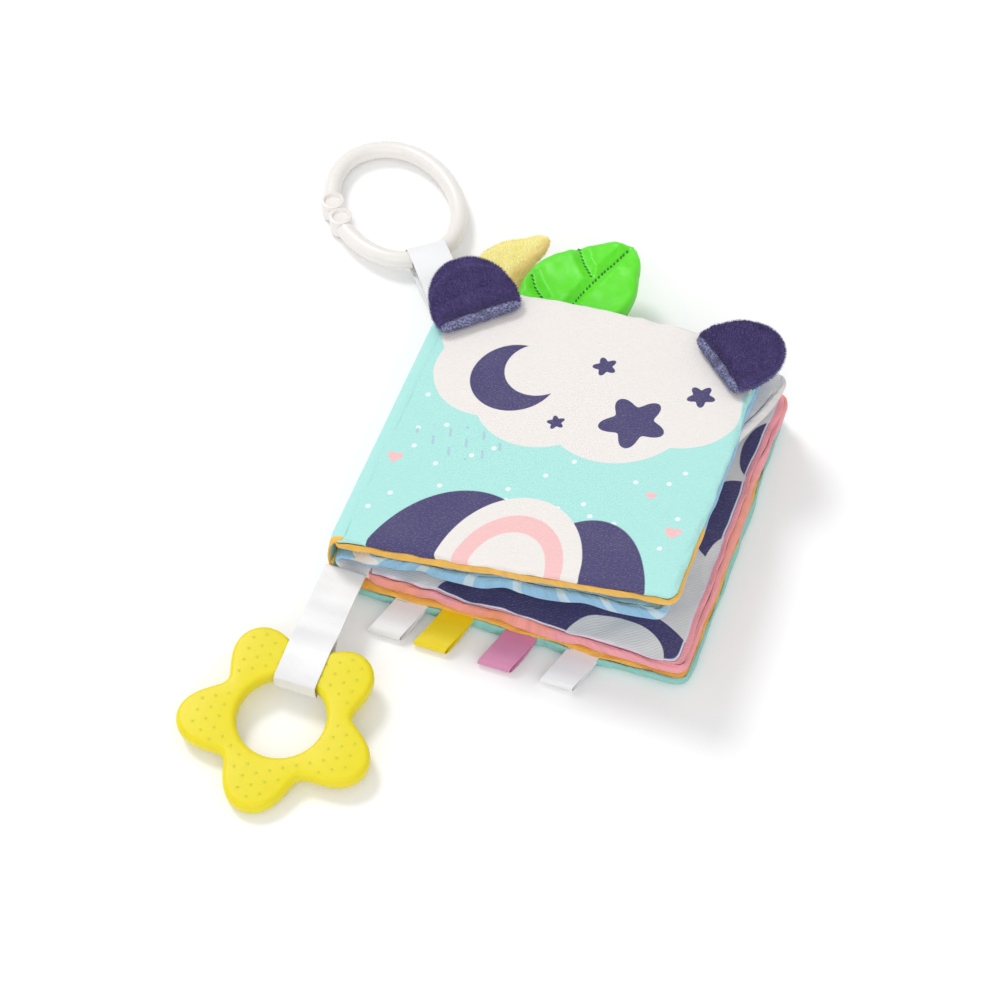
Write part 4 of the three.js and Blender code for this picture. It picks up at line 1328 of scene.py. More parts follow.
class CLOTHBOOK_OT_spine(Step):
    """Make the spine band, the fold that carries the inner leaves and the cloth over the hinges"""

    bl_idname = "clothbook.spine"
    bl_label = "Add Spine"

    def make(self):
        half = size("book_height") / 2
        cloth = spine_cloth()
        self.band(half, cloth)
        self.fold(half)
        self.cover_hinge(half, cloth)
        self.inner_hinge("second", SECOND_HINGE[1], half, "sky", "sky_cloth")
        self.inner_hinge("third", THIRD_HINGE[1], half, "rose", "rose_cloth")
        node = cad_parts["spine_seam_thread"]
        node.data.materials.clear()
        node.data.materials.append(thread("seam_thread", "amber"))

    def band(self, half, cloth):
        """The spine's cloth, round the closed leaves."""
        end = math.acos((SPINE_FACE - COVER_HINGE[0]) / SPINE_BULGE)
        rise = (COVER_HINGE[1] - BACK_MIDDLE) / (1 + math.sin(end))
        middle = BACK_MIDDLE + rise
        path, runs, columns = [], [], 61
        for k in range(25):
            angle = -math.pi / 2 + (end + math.pi / 2) * k / 24
            x, z = SPINE_FACE - SPINE_BULGE * math.cos(angle), middle + rise * math.sin(angle)
            runs.append(runs[-1] + math.dist((x, z), path[-1]) if path else 0)
            path.append((x, z))

        def dent(x, v, z):
            return 0.45 * noise.noise(Vector((v / 16, z / 9, 3.3)))

        across = [-half + 2 * half * j / (columns - 1) for j in range(columns)]
        points = swept(path, across, dent)
        cut = [(run - 20, v) for run in runs for v in across]
        band = mesh_piece("spine_band", points, grid_faces(len(path), columns), cut)
        walled(band, 0.9, offset=-1)
        dress(band, cloth, "book_back", "spine_cloth", "spine_fabric")

    def fold(self, half):
        """The padded C that joins the second and the third leaf."""
        centre = (SECOND_HINGE[1] + THIRD_HINGE[1]) / 2
        reach = (SECOND_HINGE[1] - THIRD_HINGE[1]) / 2
        bend, columns = -73.2, 41
        arm = SECOND_HINGE[0] - 0.5
        path = [(arm, centre + reach), (bend + 3, centre + reach)]
        for k in range(1, 12):
            angle = math.pi / 2 + math.pi * k / 12
            path.append((bend + reach * math.cos(angle), centre + reach * math.sin(angle)))
        path += [(bend + 3, centre - reach), (arm, centre - reach)]

        def dent(x, v, z):
            return 0.3 * noise.noise(Vector((v / 12, x / 6, z / 6)))

        across = [(half - 0.6) * (2 * j / (columns - 1) - 1) for j in range(columns)]
        points = swept(path, across, dent)
        fold = mesh_piece("gutter_fold_cloth", points, grid_faces(len(path), columns))
        walled(fold, 2.4, levels=2)
        dress(fold, fold_cloth(), "book_back", "sky_cloth", "gutter_fold")

    def cover_hinge(self, half, cloth):
        """The spine's cloth where it turns over onto the cover."""
        leaf = LEAF_PLACES["front_cover"]

        def section(v):
            laps = [[leaf(u, v, w) for u, w in pair] for pair in COVER_LAP]
            return COVER_TURN + [[(spot[0], spot[2]) for spot in pair] for pair in laps]

        bodies = ("book_back", "front_cover")
        ends = (-81, 0, 28), (-77.5, 0, 33)
        hinge_pad("cover_hinge_cloth", section, half, cloth, "spine_cloth", bodies, *ends)

    def inner_hinge(self, name, hinge, half, shade, slot):
        """The cloth where an inner leaf leaves the fold."""
        body = f"{name}_leaf"
        leaf = LEAF_PLACES[body]

        def section(v):
            turn = [((x, hinge + thick), (x, hinge - thick)) for x, thick in FOLD_TURN]
            laps = [[leaf(u, v, w), leaf(u, v, -w)] for u, w in LEAF_LAP]
            return turn + [[(spot[0], spot[2]) for spot in pair] for pair in laps]

        cloth = two_sided(f"{name}_hinge_cloth", "grey", shade)
        bodies = ("book_back", body)
        ends = (-69, 0, hinge), (-63, 0, hinge)
        hinge_pad(f"{body}_hinge_cloth", section, half - 0.3, cloth, slot, bodies, *ends)


def crown(distance, roll):
    """How far a pad has risen, 0 to 1, at a distance from its seam."""
    return math.sqrt(max(1 - (1 - min(distance / roll, 1)) ** 2, 0))


def shaped_pad(plan, columns, rows, thickness, roll, dent=None):
    """Upper and lower sheets of a pad, from a plan of shares to places."""
    spots = [plan(i / (columns - 1), j / (rows - 1)) for i in range(columns) for j in range(rows)]
    outer = [on_rim(*divmod(k, rows), columns, rows) for k in range(len(spots))]
    rim = [spot for spot, on in zip(spots, outer) if on]
    upper, lower, away = [], [], []
    for (x, y), on in zip(spots, outer):
        near = 0 if on else min(math.dist((x, y), spot) for spot in rim)
        rise = thickness / 2 * crown(near, roll)
        if dent:
            rise *= dent(x, y)
        upper.append(Vector((x, y, rise)))
        lower.append(Vector((x, y, -rise)))
        away.append(near)
    return upper, lower, away


def nap(piece, length, count, spread, seed):
    """Short fibre tufts all over a plush piece, leaning with the nap."""
    mesh = piece.data
    mesh.calc_loop_triangles()
    areas = [t.area for t in mesh.loop_triangles]
    total = sum(areas)
    points, faces = [], []
    carried = 0
    spin = seed
    for triangle, area in zip(mesh.loop_triangles, areas):
        carried += count * area / total
        while carried >= 1:
            carried -= 1
            spin += 1
            draws = [noise.noise(Vector((spin * 0.731, k, seed))) for k in (0.5, 7.5)]
            a, b = (0.5 + 0.5 * draw * 1.6 for draw in draws)
            if a + b > 1:
                a, b = 1 - a, 1 - b
            corners = [mesh.vertices[v].co for v in triangle.vertices]
            spot = corners[0] + (corners[1] - corners[0]) * a + (corners[2] - corners[0]) * b
            normal = triangle.normal
            lean = noise.noise_vector(spot / (9 * MM) + Vector((seed, 0, 0)))
            jitter = noise.noise_vector(Vector((spin * 1.37, spin * 0.61, seed)))
            tip = (normal + 0.55 * lean + 0.5 * jitter).normalized()
            if tip.dot(normal) < 0.25:  # too flat to show
                continue
            side = tip.orthogonal().normalized()
            other = tip.cross(side)
            start = len(points)
            root = spot - normal * 0.1 * MM
            for k in range(3):
                angle = 2 * math.pi * k / 3
                out = side * math.cos(angle) + other * math.sin(angle)
                points.append((root + out * spread * MM) / MM)
            points.append((spot + tip * length * MM) / MM)
            faces.append((start, start + 2, start + 1))
            faces += [(start + k, start + (k + 1) % 3, start + 3) for k in range(3)]
    return mesh_piece("tufts", points, faces)


def fuzz(piece, length, count, spread, seed):
    """Joins a nap of tufts to a plush piece."""
    tufts = nap(piece, length, count, spread, seed)
    tufts.data.materials.append(piece.data.materials[0])
    join_to(piece, tufts)


HELD_DENT = 0.6  # a quilted seam is held where a pad is dented to under this share
STUFFED_CORE = (0.9, 0.72)  # shares of a pad's plan and height that its filling takes
QUILTED_CORE = (0.97, 0.45)


def sewn_pad(body, fabrics, fibre, place, plan, *, grid, thickness, roll, pressure, cap,
             dent=None, cloth=0.5, core="stuffing", rides=True):
    """A stuffed pad of two fabrics, each (node, material, slot), with its filling."""
    columns, rows = grid
    carrier = body if rides else None
    upper, lower, away = shaped_pad(plan, columns, rows, thickness, roll, dent)
    held = [
        k for k, (spot, near) in enumerate(zip(upper, away))
        if near == 0 or (dent and dent(spot[0], spot[1]) < HELD_DENT)
    ]
    upper, lower = inflate(upper, lower, columns, rows, held, pressure, 0.03, cap)
    flat = [(p[0], p[1]) for p in upper]
    made = []
    for (node, finish, slot), sheet, up in zip(fabrics, (upper, lower), (True, False)):
        points = [place(p) for p in sheet]
        piece = mesh_piece(f"{node}_cloth", points, grid_faces(columns, rows, up), flat)
        thicken(piece, cloth)
        dress(piece, finish, carrier, slot, node)
        made.append(piece)
    middle = sum(upper, Vector()) / len(upper)
    across, high = QUILTED_CORE if dent else STUFFED_CORE
    points = []
    for p in upper + lower:
        x, y = (middle[k] + (p[k] - middle[k]) * across for k in (0, 1))
        points.append(place((x, y, p[2] * high)))
    count = columns * rows
    faces = grid_faces(columns, rows)
    faces += [tuple(count + k for k in face) for face in grid_faces(columns, rows, up=False)]
    rim = [i * rows for i in range(columns)] + [(columns - 1) * rows + j for j in range(1, rows)]
    rim += [i * rows + rows - 1 for i in range(columns - 2, -1, -1)] + list(range(rows - 2, 0, -1))
    faces += [(b, a, a + count, b + count) for a, b in zip(rim, rim[1:] + rim[:1])]
    filling = mesh_piece(f"{body}_filling", points, faces)
    outward(filling)
    made.append(dress(filling, fibre, carrier, "fill", f"{body}_{core}"))
    return made


def bend_at_seam(pieces, place, x, reach=9):
    """Bakes each piece's placing into its mesh; the seam's two ends are worked out and left unused.
    """
    start, end = (place(Vector((x, y, 0))) * MM for y in (0, reach))
    for piece in pieces:
        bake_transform(piece)
        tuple(start)
        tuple(end)


def rod(points, faces, centres, radii, side, up, spokes):
    """A closed rod through centres, each with a pair of radii in two directions across it."""
    start = len(points)
    for centre, (wide, high) in zip(centres, radii):
        for k in range(spokes):
            angle = 2 * math.pi * k / spokes
            points.append(centre + side * (wide * math.cos(angle)) + up * (high * math.sin(angle)))
    faces += tube_faces(start, len(centres), spokes)


def add_stitch(points, faces, spot, way, height, reach, radius):
    """One stitch of thread, flat in a pad's plan: a short arched rod."""
    along, side = Vector((way[0], way[1], 0)), Vector((-way[1], way[0], 0))
    centres, radii = [], []
    for i in range(5):
        s = i / 2 - 1
        thin = math.sqrt(max(1 - s**4, 0.08))
        centres.append(Vector((spot[0], spot[1], height - 0.3 * s * s)) + along * (reach * s))
        radii.append((radius * thin, radius * thin))
    rod(points, faces, centres, radii, side, Vector((0, 0, 1)), 6)


class CLOTHBOOK_OT_ears(Step):
    """Make the two plush ears on the front cover"""

    bl_idname = "clothbook.ears"
    bl_label = "Add Ears"

    def make(self):
        dark, light, pale = tone("plush"), tone("plush_light"), tone("strip")
        finishes = (
            plush("navy_plush", dark, light, 0.4),
            plush("periwinkle_plush", Finish.darker(light, 0.75), light, 0.4),
            plush("ear_strip_plush", Finish.darker(pale, 0.3), pale, 0.6, 1.9, 0.2),
            thread("ear_thread", "ear_thread"),
            soft_filling("ear_fill", "fill", 0.5),
        )
        self.ear(
            "spine_side_ear", -1, finishes, inset=26.2, shift=-7.4, bearing=130, share=1, lift=10
        )
        self.ear(
            "fore_side_ear", 1, finishes, inset=24, shift=2.1, bearing=44, share=0.95, lift=4
        )

    def ear(self, name, side, finishes, *, inset, shift, bearing, share, lift):
        """An ear on its base line; it points along its bearing and lifts by degrees."""
        front, back, strip, sewing, fibre = finishes
        width, height = size("ear_width") * 0.97, size("ear_height") * share
        thick = size("ear_thickness")
        cover = size("front_width")
        centre = HINGE_ALLOWANCE + cover / 2 + side * (cover / 2 - inset) + shift
        line = size("book_height") / 2 - 18 - 3.6
        bearing, lift = math.radians(bearing), math.radians(lift)
        seat = size("leaf_thickness") / 2 + TOUCH + thick / 2
        leaf = LEAF_PLACES["front_cover"]
        shoulder = 4.5  # the height of the dome's ends

        def plan(s, t):
            across = math.sin((s - 0.5) * math.pi)
            dome = shoulder + (height - shoulder) * (1 - abs(across) ** 2.2) ** (1 / 2.1)
            return across * width / 2 * 0.97, dome * t

        def place(p):
            x, y = p[0], p[1] * (1 - 0.25 * lift)
            z = p[2] + math.tan(lift) * p[1] ** 2 / (abs(p[1]) + 8)
            u = centre + y * math.cos(bearing) + x * math.sin(bearing)
            v = line + y * math.sin(bearing) - x * math.cos(bearing)
            return leaf(u, v, z + seat)

        fabrics = (
            (f"{name}_front_plush", front, "navy_plush"),
            (f"{name}_back_plush", back, "periwinkle_plush"),
        )
        sewn = sewn_pad(
            name, fabrics, fibre, place, plan, grid=(34, 26), thickness=thick, roll=7.5,
            pressure=2.5, cap=1.2,
        )
        for piece, count, seed in zip(sewn, (9000, 5000), (2.5, 5.5)):
            fuzz(piece, size("nap_length"), count, 0.16, side + seed)
        sewn.append(self.strip(f"{name}_base_strip", place, width, name, strip, side))
        sewn.append(self.stitches(f"{name}_stitches", place, width, name, sewing))
        if side < 0:  # this ear leans over the spine; its pieces get meshes of their own
            cosine, sine = leaf.turn(line)
            anchor = leaf(centre + 17, line, seat) * MM
            for piece in sewn:
                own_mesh(piece)

    def strip(self, name, place, width, body, finish, side):
        """The rolled strip along an ear's base."""
        centres, radii, rings = [], [], 33
        for i in range(rings):
            s = 2 * i / (rings - 1) - 1
            unrest = 1 + 0.14 * noise.noise(Vector((s * 5, 1, side)))
            swell = math.sqrt(max(1 - abs(s) ** 8, 0.04)) * unrest
            centres.append(Vector((s * width / 2 * 0.95, -0.2, -1.1)))
            radii.append((2.3 * swell, 2.7 * swell))
        points, faces = [], []
        rod(points, faces, centres, radii, Vector((0, 1, 0)), Vector((0, 0, 1)), 12)
        roll = mesh_piece(name, [place(p) for p in points], faces)
        outward(roll)
        rounded_off(roll)
        dress(roll, finish, body, "periwinkle_plush")
        fuzz(roll, size("nap_length") * 0.7, 2600, 0.15, side + 9.5)
        return roll

    def stitches(self, name, place, width, body, sewing):
        """The stitches that hold the rolled strip."""
        points, faces = [], []
        count = 15
        for k in range(count):
            x = (2 * k / (count - 1) - 1) * width * 0.43
            add_stitch(points, faces, (x, 1.5), (0.96, 0.28), height=3.5, reach=0.85, radius=0.36)
        row = mesh_piece(name, [place(p) for p in points], faces)
        outward(row)
        return dress(row, sewing, body, "navy_plush")


def to_line(spot, line):
    """The distance from a spot to a line of points."""
    best = 1e9
    for a, b in zip(line, line[1:]):
        a, b, p = Vector(a), Vector(b), Vector(spot)
        t = min(max((p - a).dot(b - a) / max((b - a).length_squared, 1e-9), 0), 1)
        best = min(best, (p - a - (b - a) * t).length)
    return best


# Both sides of an outline as shares of its width, from its seam (0) to its tip (1)
FLAP_SHARES = [
    (0, 0.08, 0.92), (0.06, 0.05, 0.95), (0.22, 0, 0.99), (0.45, 0.02, 1),
    (0.62, 0.11, 0.97), (0.8, 0.29, 0.93), (0.94, 0.52, 0.86), (1, 0.64, 0.8),
]
HORN_SHARES = [
    (0, 0.28, 0.88), (0.08, 0.2, 0.88), (0.22, 0, 0.86), (0.42, -0.2, 0.84), (0.6, -0.33, 0.88),
    (0.72, -0.2, 0.93), (0.84, 0.12, 1), (0.94, 0.5, 1.02), (1, 0.8, 1),
]
# Stitch lines of the leaf flap, from its start along the seam and from its root
FLAP_SEAMS = [
    [(25.5, 4), (28.5, 17), (32.2, 28), (36.0, 38), (39.6, 47.5)],
    [(18.2, 41.5), (23.2, 33.4), (29.0, 26.5)],
    [(3.4, 20), (7.6, 13.2), (13.5, 7.2)],
    [(27, 3.4), (34, 3.1), (42, 3.2), (46, 3.4)],
]
FLAP_START = 12  # along the second leaf's head edge
HORN_START = -7  # along the third leaf's


def outline(shares, width, long):
    """The plan of a pad from the shares of its two sides."""

    def plan(s, t):
        along = 1 - (1 - t) ** 1.25
        low, high = between(shares, along)
        return (low + (high - low) * s) * width, along * long

    return plan


class CLOTHBOOK_OT_leaf_flap(Step):
    """Make the quilted satin leaf flap and its stitches"""

    bl_idname = "clothbook.leaf_flap"
    bl_label = "Add Leaf Flap"

    def make(self):
        width, long = size("flap_width"), size("flap_length")
        root = size("book_height") / 2 + TOUCH
        leaf = LEAF_PLACES["second_leaf"]

        def dent(x, y):
            return min(1.3, min(0.22 + to_line((x, y), line) / 3.6 for line in FLAP_SEAMS))

        def wave(x, y):
            slow, quick = Vector((x / 14, y / 14, 2.2)), Vector((x / 5, y / 5, 5.1))
            return 0.9 * noise.noise(slow) + 0.35 * noise.noise(quick)

        def place(p):
            ease = min(p[1] / 10, 1)
            return leaf(p[0] + FLAP_START, p[1] + root, p[2] + wave(p[0], p[1]) * ease)

        finish = satin("green_satin", "leaf", ribs=False, gloss=0.46, creased=0.03)
        full = size("flap_thickness") + 2.8
        sewn = sewn_pad(
            "leaf_flap",
            [(f"leaf_flap_{side}_satin", finish, "green_satin") for side in ("front", "back")],
            soft_filling("wadding", "fill", 0.5), place, outline(FLAP_SHARES, width, long),
            grid=(44, 44), thickness=full, roll=4, pressure=0.8, cap=0.5, dent=dent,
            cloth=0.35, core="wadding", rides=False,
        )
        sewn.append(self.stitches(place, width, long, 0.11 * full + 0.6))
        bend_at_seam(sewn, place, 0)

    def stitches(self, place, width, long, top):
        """Rows of short slanted stitches that lie in the quilted seams."""
        points, faces = [], []
        gap, clear = 2.2, 1.6
        for line in FLAP_SEAMS:
            run = smooth_path(line, 24)
            step, total = 0, 0.0
            for a, b in zip(run, run[1:]):
                total += (b - a).length
                if total < step * gap:
                    continue
                step += 1
                low, high = between(FLAP_SHARES, min(max(b[1] / long, 0), 1))
                if low * width + clear < b[0] < high * width - clear:
                    way = (b - a).normalized()
                    way.rotate(Matrix.Rotation(math.radians(32), 2))
                    add_stitch(points, faces, b, way, top, reach=1.15, radius=0.46)
        sewing = mesh_piece("leaf_flap_stitches", [place(p) for p in points], faces)
        outward(sewing)
        finish = thread("leaf_thread", "leaf_thread")
        return dress(sewing, finish, None, "green_thread", "leaf_flap_vein_thread")


class CLOTHBOOK_OT_horn(Step):
    """Make the plush horn"""

    bl_idname = "clothbook.horn"
    bl_label = "Add Horn"

    def make(self):
        root = size("book_height") / 2 + TOUCH
        leaf = LEAF_PLACES["third_leaf"]

        def place(p):
            return leaf(p[0] + HORN_START, p[1] + root, p[2])

        finish = horn_plush()
        sewn = sewn_pad(
            "horn", [(f"horn_{side}_plush", finish, "yellow_plush") for side in ("front", "back")],
            soft_filling("horn_fill", "fill", 0.5), place,
            outline(HORN_SHARES, size("horn_width"), size("horn_length")), grid=(22, 40),
            thickness=size("horn_thickness"), roll=7, pressure=2, cap=0.8, rides=False,
        )
        for piece, count, seed in zip(sewn, (6000, 4000), (21, 23)):
            fuzz(piece, size("nap_length") * 0.8, count, 0.2, seed)
        bend_at_seam(sewn, place, 7)


class CLOTHBOOK_OT_link_ring(Step):
    """Make the link ring and its ribbon"""

    bl_idname = "clothbook.link_ring"
    bl_label = "Add Link Ring"

    def make(self):
        tube = size("ring_tube")
        eye = tube / 2 + 1.7
        eye_height = eye + 0.8 + TOUCH
        reach = 39
        bearing = math.radians(128.5)
        root = Vector((-80.29, 76.017, 7.5))
        drop = math.asin((7.5 - eye_height) / reach)
        matrix = ribbon_matrix(root, bearing, drop)
        self.ribbon(matrix, reach, tube / 2 + 0.75)
        outwards = Vector((math.cos(bearing), math.sin(bearing), 0))
        long, short = (size("ring_length") - tube) / 2, (size("ring_width") - tube) / 2
        turn = math.radians(141)
        facing = bearing + math.pi - turn
        contact = math.atan2(short * math.sin(facing), long * math.cos(facing))

        def speed(angle):
            return math.hypot(long * math.sin(angle), short * math.cos(angle))

        def at(angle):
            return Vector((long * math.cos(angle), short * math.sin(angle), 0))

        snap = math.radians(76.5)
        gap = 5.4 / speed(snap)
        sagitta = (size("ribbon_width") / 2) ** 2 / (2 * speed(contact) ** 3 / (long * short))
        dip = math.asin((eye_height - tube / 2 - TOUCH) / (long - at(contact)[0]))
        seat = root + outwards * (reach * math.cos(drop) - sagitta / 2)
        seat[2] = eye_height
        place = Matrix.Translation(seat) @ Matrix.Rotation(turn, 4, "Z")
        place = place @ Matrix.Rotation(dip, 4, "Y") @ Matrix.Translation(-at(contact))
        ring = self.tube(long, short, tube, snap, gap)
        for angle in (snap + gap, snap - gap):
            self.carve(ring, "UNION", at(angle), 5.2, 5.2, 9)
            for side in (1, -1):
                radii = (3.4, 4.62)[::side]
                spot = at(angle) + Vector((0, 0, side * 4.325))
                self.carve(ring, "DIFFERENCE", spot, *radii, 2.35)
        place.translation = place.translation * MM
        ring.data.transform(place)
        ivory = moulded(
            "ring_plastic", "ivory", 0.28, 0.12, 0.3, coat_weight=0.35, coat_roughness=0.12
        )
        dress(ring, ivory, "link_ring", "ring_plastic", "link_ring")
        sharp_edged(ring, 40)

    def tube(self, long, short, tube, snap, gap):
        """The oval tube, open at the snap."""
        choose()
        bpy.ops.curve.primitive_bezier_circle_add(
            radius=1, location=(0, 0, 0), rotation=(0, 0, snap - math.pi)
        )
        bpy.ops.object.transform_apply(location=False, rotation=True, scale=False)
        ring = bpy.context.object
        ring.name = ring.data.name = "link_ring_moulding"
        with edit_mode():
            bpy.ops.curve.select_all(action="SELECT")
            bpy.ops.transform.resize(value=(long * MM, short * MM, 1), center_override=(0, 0, 0))
        sections = 4 * 40
        ring.data.resolution_u = sections // 4
        ring.data.bevel_depth = tube / 2 * MM
        ring.data.bevel_resolution = 10
        bpy.ops.object.convert(target="MESH")
        around = len(ring.data.vertices) // sections
        with edit_mode():
            bpy.ops.mesh.select_mode(type="VERT")
            bpy.ops.mesh.select_all(action="DESELECT")
        for vertex in ring.data.vertices:
            section = vertex.index // around
            vertex.select = min(section, sections - section) < gap / (2 * math.pi) * sections
        with edit_mode():
            bpy.ops.mesh.delete(type="VERT")
            bpy.ops.mesh.select_all(action="SELECT")
            bpy.ops.mesh.fill_holes(sides=0)
        outward(ring)
        return ring

    def carve(self, ring, operation, spot, low, high, depth):
        """Adds a round boss to the ring for a snap socket, or takes a flared dish out of it."""
        choose()
        bpy.ops.mesh.primitive_cone_add(
            vertices=48, radius1=low * MM, radius2=high * MM, depth=depth * MM, location=(0, 0, 0)
        )
        tool = bpy.context.object
        if operation == "UNION":
            bevelled(tool, 0.3, 3, 30)
        tool.data.transform(Matrix.Translation(spot * MM))
        apply(ring, "BOOLEAN", operation=operation, object=tool, solver="EXACT")
        bpy.data.objects.remove(tool)

    def ribbon(self, matrix, reach, radius):
        """The ribbon: out over the ring, round it and back."""
        path = [(-0.6, 0.9), (8, 1.9), (18, 3.3), (28, 4.5), (reach - 5, radius + 0.2)]
        path += round_turn(reach, radius)
        path += [(reach - 5, -radius - 0.1), (28, -3.6), (18, -2.4), (8, -1.4), (-0.6, -0.5)]
        ribbon(
            "ring_ribbon_cloth", matrix, smooth_path(path, 4), size("ribbon_width"), 0.45,
            satin("white_satin_ring", "satin"), "ring_ribbon", "white_satin", ["ring_ribbon"],
            seed=4.2,
        )


class CLOTHBOOK_OT_teether(Step):
    """Make the star teether and its ribbon"""

    bl_idname = "clothbook.teether"
    bl_label = "Add Teether"

    def make(self):
        thick = size("star_thickness")
        strip, hole_reach = 33, 39
        far = strip + hole_reach + size("star_reach")
        drop = math.asin((16.5 - thick / 2 - 0.2) / far)
        matrix = ribbon_matrix((-73.2, -76.3, 16.5), math.radians(-90), drop)
        finish = satin("white_satin_teether", "satin", depth=0.6)
        width = size("ribbon_width")
        half = width / 2
        rim = hole_reach - math.sqrt(size("star_hole") ** 2 - half**2)
        edge = thick / 2 + TOUCH + 0.25
        near = hole_reach - self.shoulder(half) - 0.4
        path = [(-0.8 - strip, 0.25), (10 - strip, 0.7), (22 - strip, 1.3), (-3, 2)]
        path += [(near - 4, edge * 0.8), (near + 1, edge), (rim - 3, edge + 0.1), (rim, edge)]
        for k in range(1, 6):
            angle = math.pi / 2 - math.pi * k / 6
            path.append((rim + 0.5 + 1.0 * math.cos(angle), edge * math.sin(angle)))
        path += [(rim, -edge), (rim - 3, -edge - 0.1), (near + 1, -edge), (near - 4, -edge * 0.5)]
        path += [(-3, 0.6), (22 - strip, 0.5), (10 - strip, 0), (-0.8 - strip, -0.25)]
        path = smooth_path([(x + strip, z) for x, z in path], 5)
        piece = ribbon(
            "teether_ribbon_cloth", matrix, path, width, 0.45, finish, None, "white_satin",
            ["teether_ribbon", "teether_ribbon_loop"], seed=7.7,
        )
        start, end = (matrix @ Vector((strip + x, 0, 0)) * MM for x in (-5, 3))
        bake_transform(piece)
        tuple(start)
        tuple(end)
        self.star(matrix, strip + hole_reach, thick)

    def radius(self, angle):
        """The star's outline."""
        wave = (1 + math.cos(5 * angle)) / 2
        swell = wave * (1.35 - 0.35 * wave)
        return size("star_notch") + (size("star_reach") - size("star_notch")) * swell

    def shoulder(self, half):
        """How far the star reaches under a ribbon of this half width."""
        reach, angle = size("star_notch"), 0
        while self.radius(math.pi + angle) * math.sin(angle) < half:
            reach = max(reach, self.radius(math.pi + angle) * math.cos(angle))
            angle += math.radians(1)
        return reach

    def star(self, matrix, reach, thick):
        """The moulded star: an annulus cut to a lobed outline, rounded, with small raised dots."""
        choose()
        bpy.ops.mesh.primitive_circle_add(
            vertices=300, radius=1, fill_type="NOTHING", location=(0, 0, 0)
        )
        star = bpy.context.object
        star.name = star.data.name = "star_teether_moulding"
        for vertex in star.data.vertices:
            angle = math.atan2(vertex.co.y, vertex.co.x)
            vertex.co = Vector((math.cos(angle), math.sin(angle), 0)) * self.radius(angle) * MM
        with edit_mode():
            bpy.ops.mesh.select_all(action="SELECT")
            bpy.ops.mesh.extrude_edges_move()
        for vertex in star.data.vertices:
            if vertex.select:
                vertex.co = vertex.co.normalized() * size("star_hole") * MM
        apply(star, "SOLIDIFY", thickness=thick * MM, offset=0)
        outward(star)
        bevelled(star, 2.3, 6, 60)
        self.dots(star, thick)
        turn = Matrix(((1, 0, 0, reach * MM), (0, 0, 1, 0), (0, -1, 0, 0), (0, 0, 0, 1)))
        flat = matrix.copy()
        flat.translation = matrix.translation * MM
        star.data.transform(flat @ turn)
        skin = moulded(
            "teether_silicone", "silicone", 0.42, 0.14, 0.35, subsurface_weight=0.25,
            subsurface_scale=0.004, specular_ior_level=0.45,
        )
        dress(star, skin, "teether", "teether_silicone", "star_teether")
        sharp_edged(star, 35)

    def dots(self, star, thick):
        """Raised dots in rows over the lobes, on both faces."""
        pitch, row_share, inner, margin = 5.4, 0.87, 23, 4.2
        spots = []
        for row in range(-10, 11):
            for column in range(-10, 11):
                x, y = (column + 0.5 * (row % 2)) * pitch, row * pitch * row_share
                if inner < math.hypot(x, y) < self.radius(math.atan2(y, x)) - margin:
                    spots.append((x, y))
        choose()
        bpy.ops.mesh.primitive_ico_sphere_add(
            subdivisions=2, radius=0.65 * MM, location=(0, 0, 0)
        )
        pattern = bpy.context.object
        pattern.data.transform(Matrix.Diagonal((1, 1, 0.2, 1)))
        dots = []
        for x, y in spots:
            for side in (1, -1):
                dot = placed("dot", pattern.data.copy())
                spot = Vector((x, y, side * (thick / 2 - 0.05))) * MM
                dot.data.transform(Matrix.Translation(spot))
                dots.append(dot)
        bpy.data.objects.remove(pattern)
        join_to(star, *dots)


# Name, colour, slot and the middle's place as a share of the back cover's width
TAGS = [
    ("white_spine_side", "satin", "white_satin", -0.293),
    ("yellow", "tag_yellow", "yellow_satin", -0.16),
    ("mauve", "tag_mauve", "mauve_satin", 0.027),
    ("white_fore_side", "satin", "white_satin", 0.207),
]


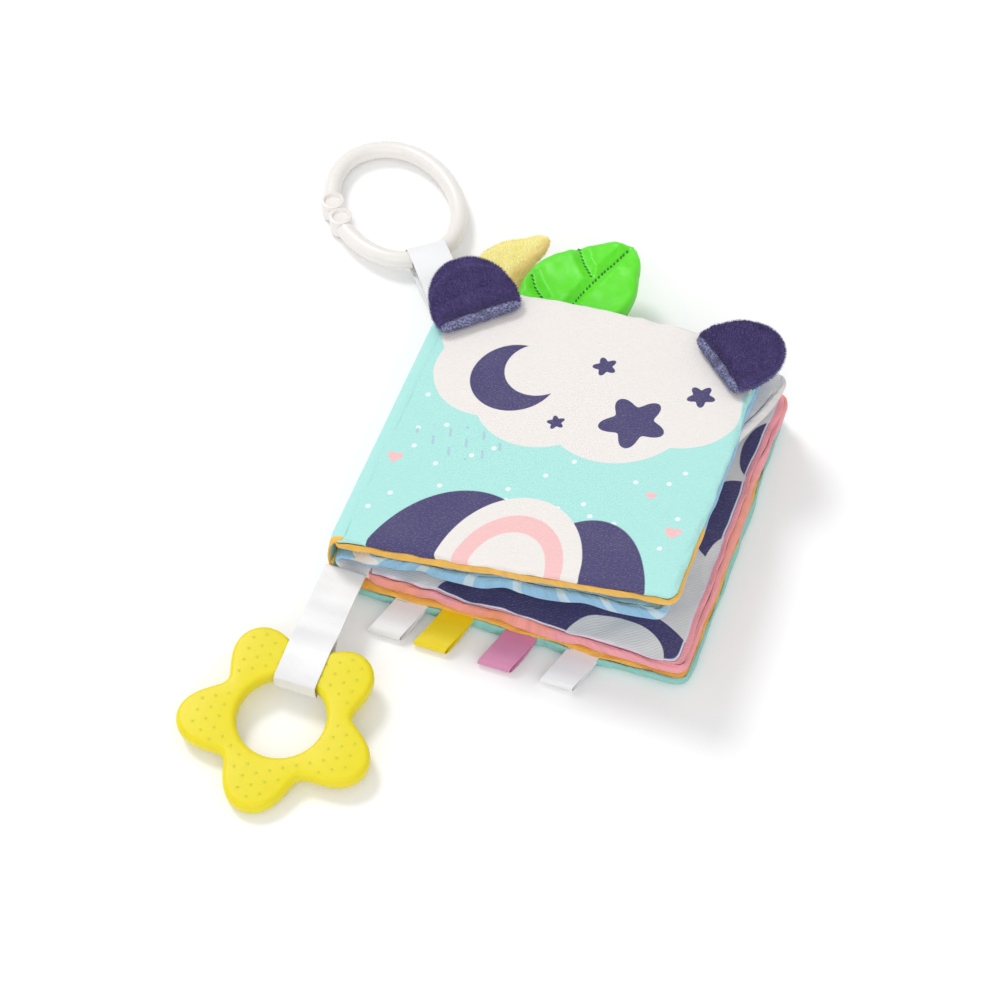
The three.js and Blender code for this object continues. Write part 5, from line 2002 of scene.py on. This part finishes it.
class CLOTHBOOK_OT_tags(Step):
    """Make the four ribbon tag loops"""

    bl_idname = "clothbook.tags"
    bl_label = "Add Tag Loops"

    def make(self):
        long, radius = size("tag_length") + 1.2, 2.2
        path = [(-0.6, 0.55), (3, 1.1), (7, 1.75), (long - 4, radius + 0.1)]
        path += round_turn(long - 1.1, radius)
        path += [(long - 4, -radius + 0.1), (7, -1.3), (3, -0.75), (-0.6, -0.25)]
        line = smooth_path(path, 4)
        for k, (name, shade, slot, share) in enumerate(TAGS):
            root = (share * size("back_width"), -74.7, 6.385)
            matrix = ribbon_matrix(root, math.radians(-90), math.radians(14.5))
            tag = ribbon(
                f"tag_{name}_ribbon", matrix, line, size("tag_width"), 0.4,
                satin(f"tag_{name}_satin", shade), None, slot, [f"tag_loop_{name}"],
                lean=0.38, bow=0.25, seed=k * 2.3,
            )
            start, end = (matrix @ Vector((x, 0, 0)) * MM for x in (0, 6))
            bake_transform(tag)
            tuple(start)
            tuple(end)


STEPS = (
    CLOTHBOOK_OT_stage,
    CLOTHBOOK_OT_leaves,
    CLOTHBOOK_OT_spine,
    CLOTHBOOK_OT_ears,
    CLOTHBOOK_OT_leaf_flap,
    CLOTHBOOK_OT_horn,
    CLOTHBOOK_OT_link_ring,
    CLOTHBOOK_OT_teether,
    CLOTHBOOK_OT_tags,
)


class CLOTHBOOK_PT_panel(bpy.types.Panel):
    """The steps, the sizes and the colours of the cloth book"""

    bl_label = "Cloth Book"
    bl_idname = "CLOTHBOOK_PT_panel"
    bl_space_type = "VIEW_3D"
    bl_region_type = "UI"
    bl_category = "Cloth Book"

    def draw(self, context):
        for step in STEPS:
            self.layout.operator(step.bl_idname)
        for group in (context.scene.cloth_book_sizes, context.scene.cloth_book_colours):
            column = self.layout.column()
            for name in group.__annotations__:
                column.prop(group, name)


CLASSES = (ClothBookSizes, ClothBookColours, *STEPS, CLOTHBOOK_PT_panel)


def register():
    for cls in CLASSES:
        bpy.utils.register_class(cls)
    bpy.types.Scene.cloth_book_sizes = bpy.props.PointerProperty(type=ClothBookSizes)
    bpy.types.Scene.cloth_book_colours = bpy.props.PointerProperty(type=ClothBookColours)


def unregister():
    del bpy.types.Scene.cloth_book_sizes
    del bpy.types.Scene.cloth_book_colours
    for cls in reversed(CLASSES):
        bpy.utils.unregister_class(cls)


def main():
    register()
    for step in STEPS:
        group, name = step.bl_idname.split(".")
        getattr(getattr(bpy.ops, group), name)()


if __name__ == "__main__":
    main()
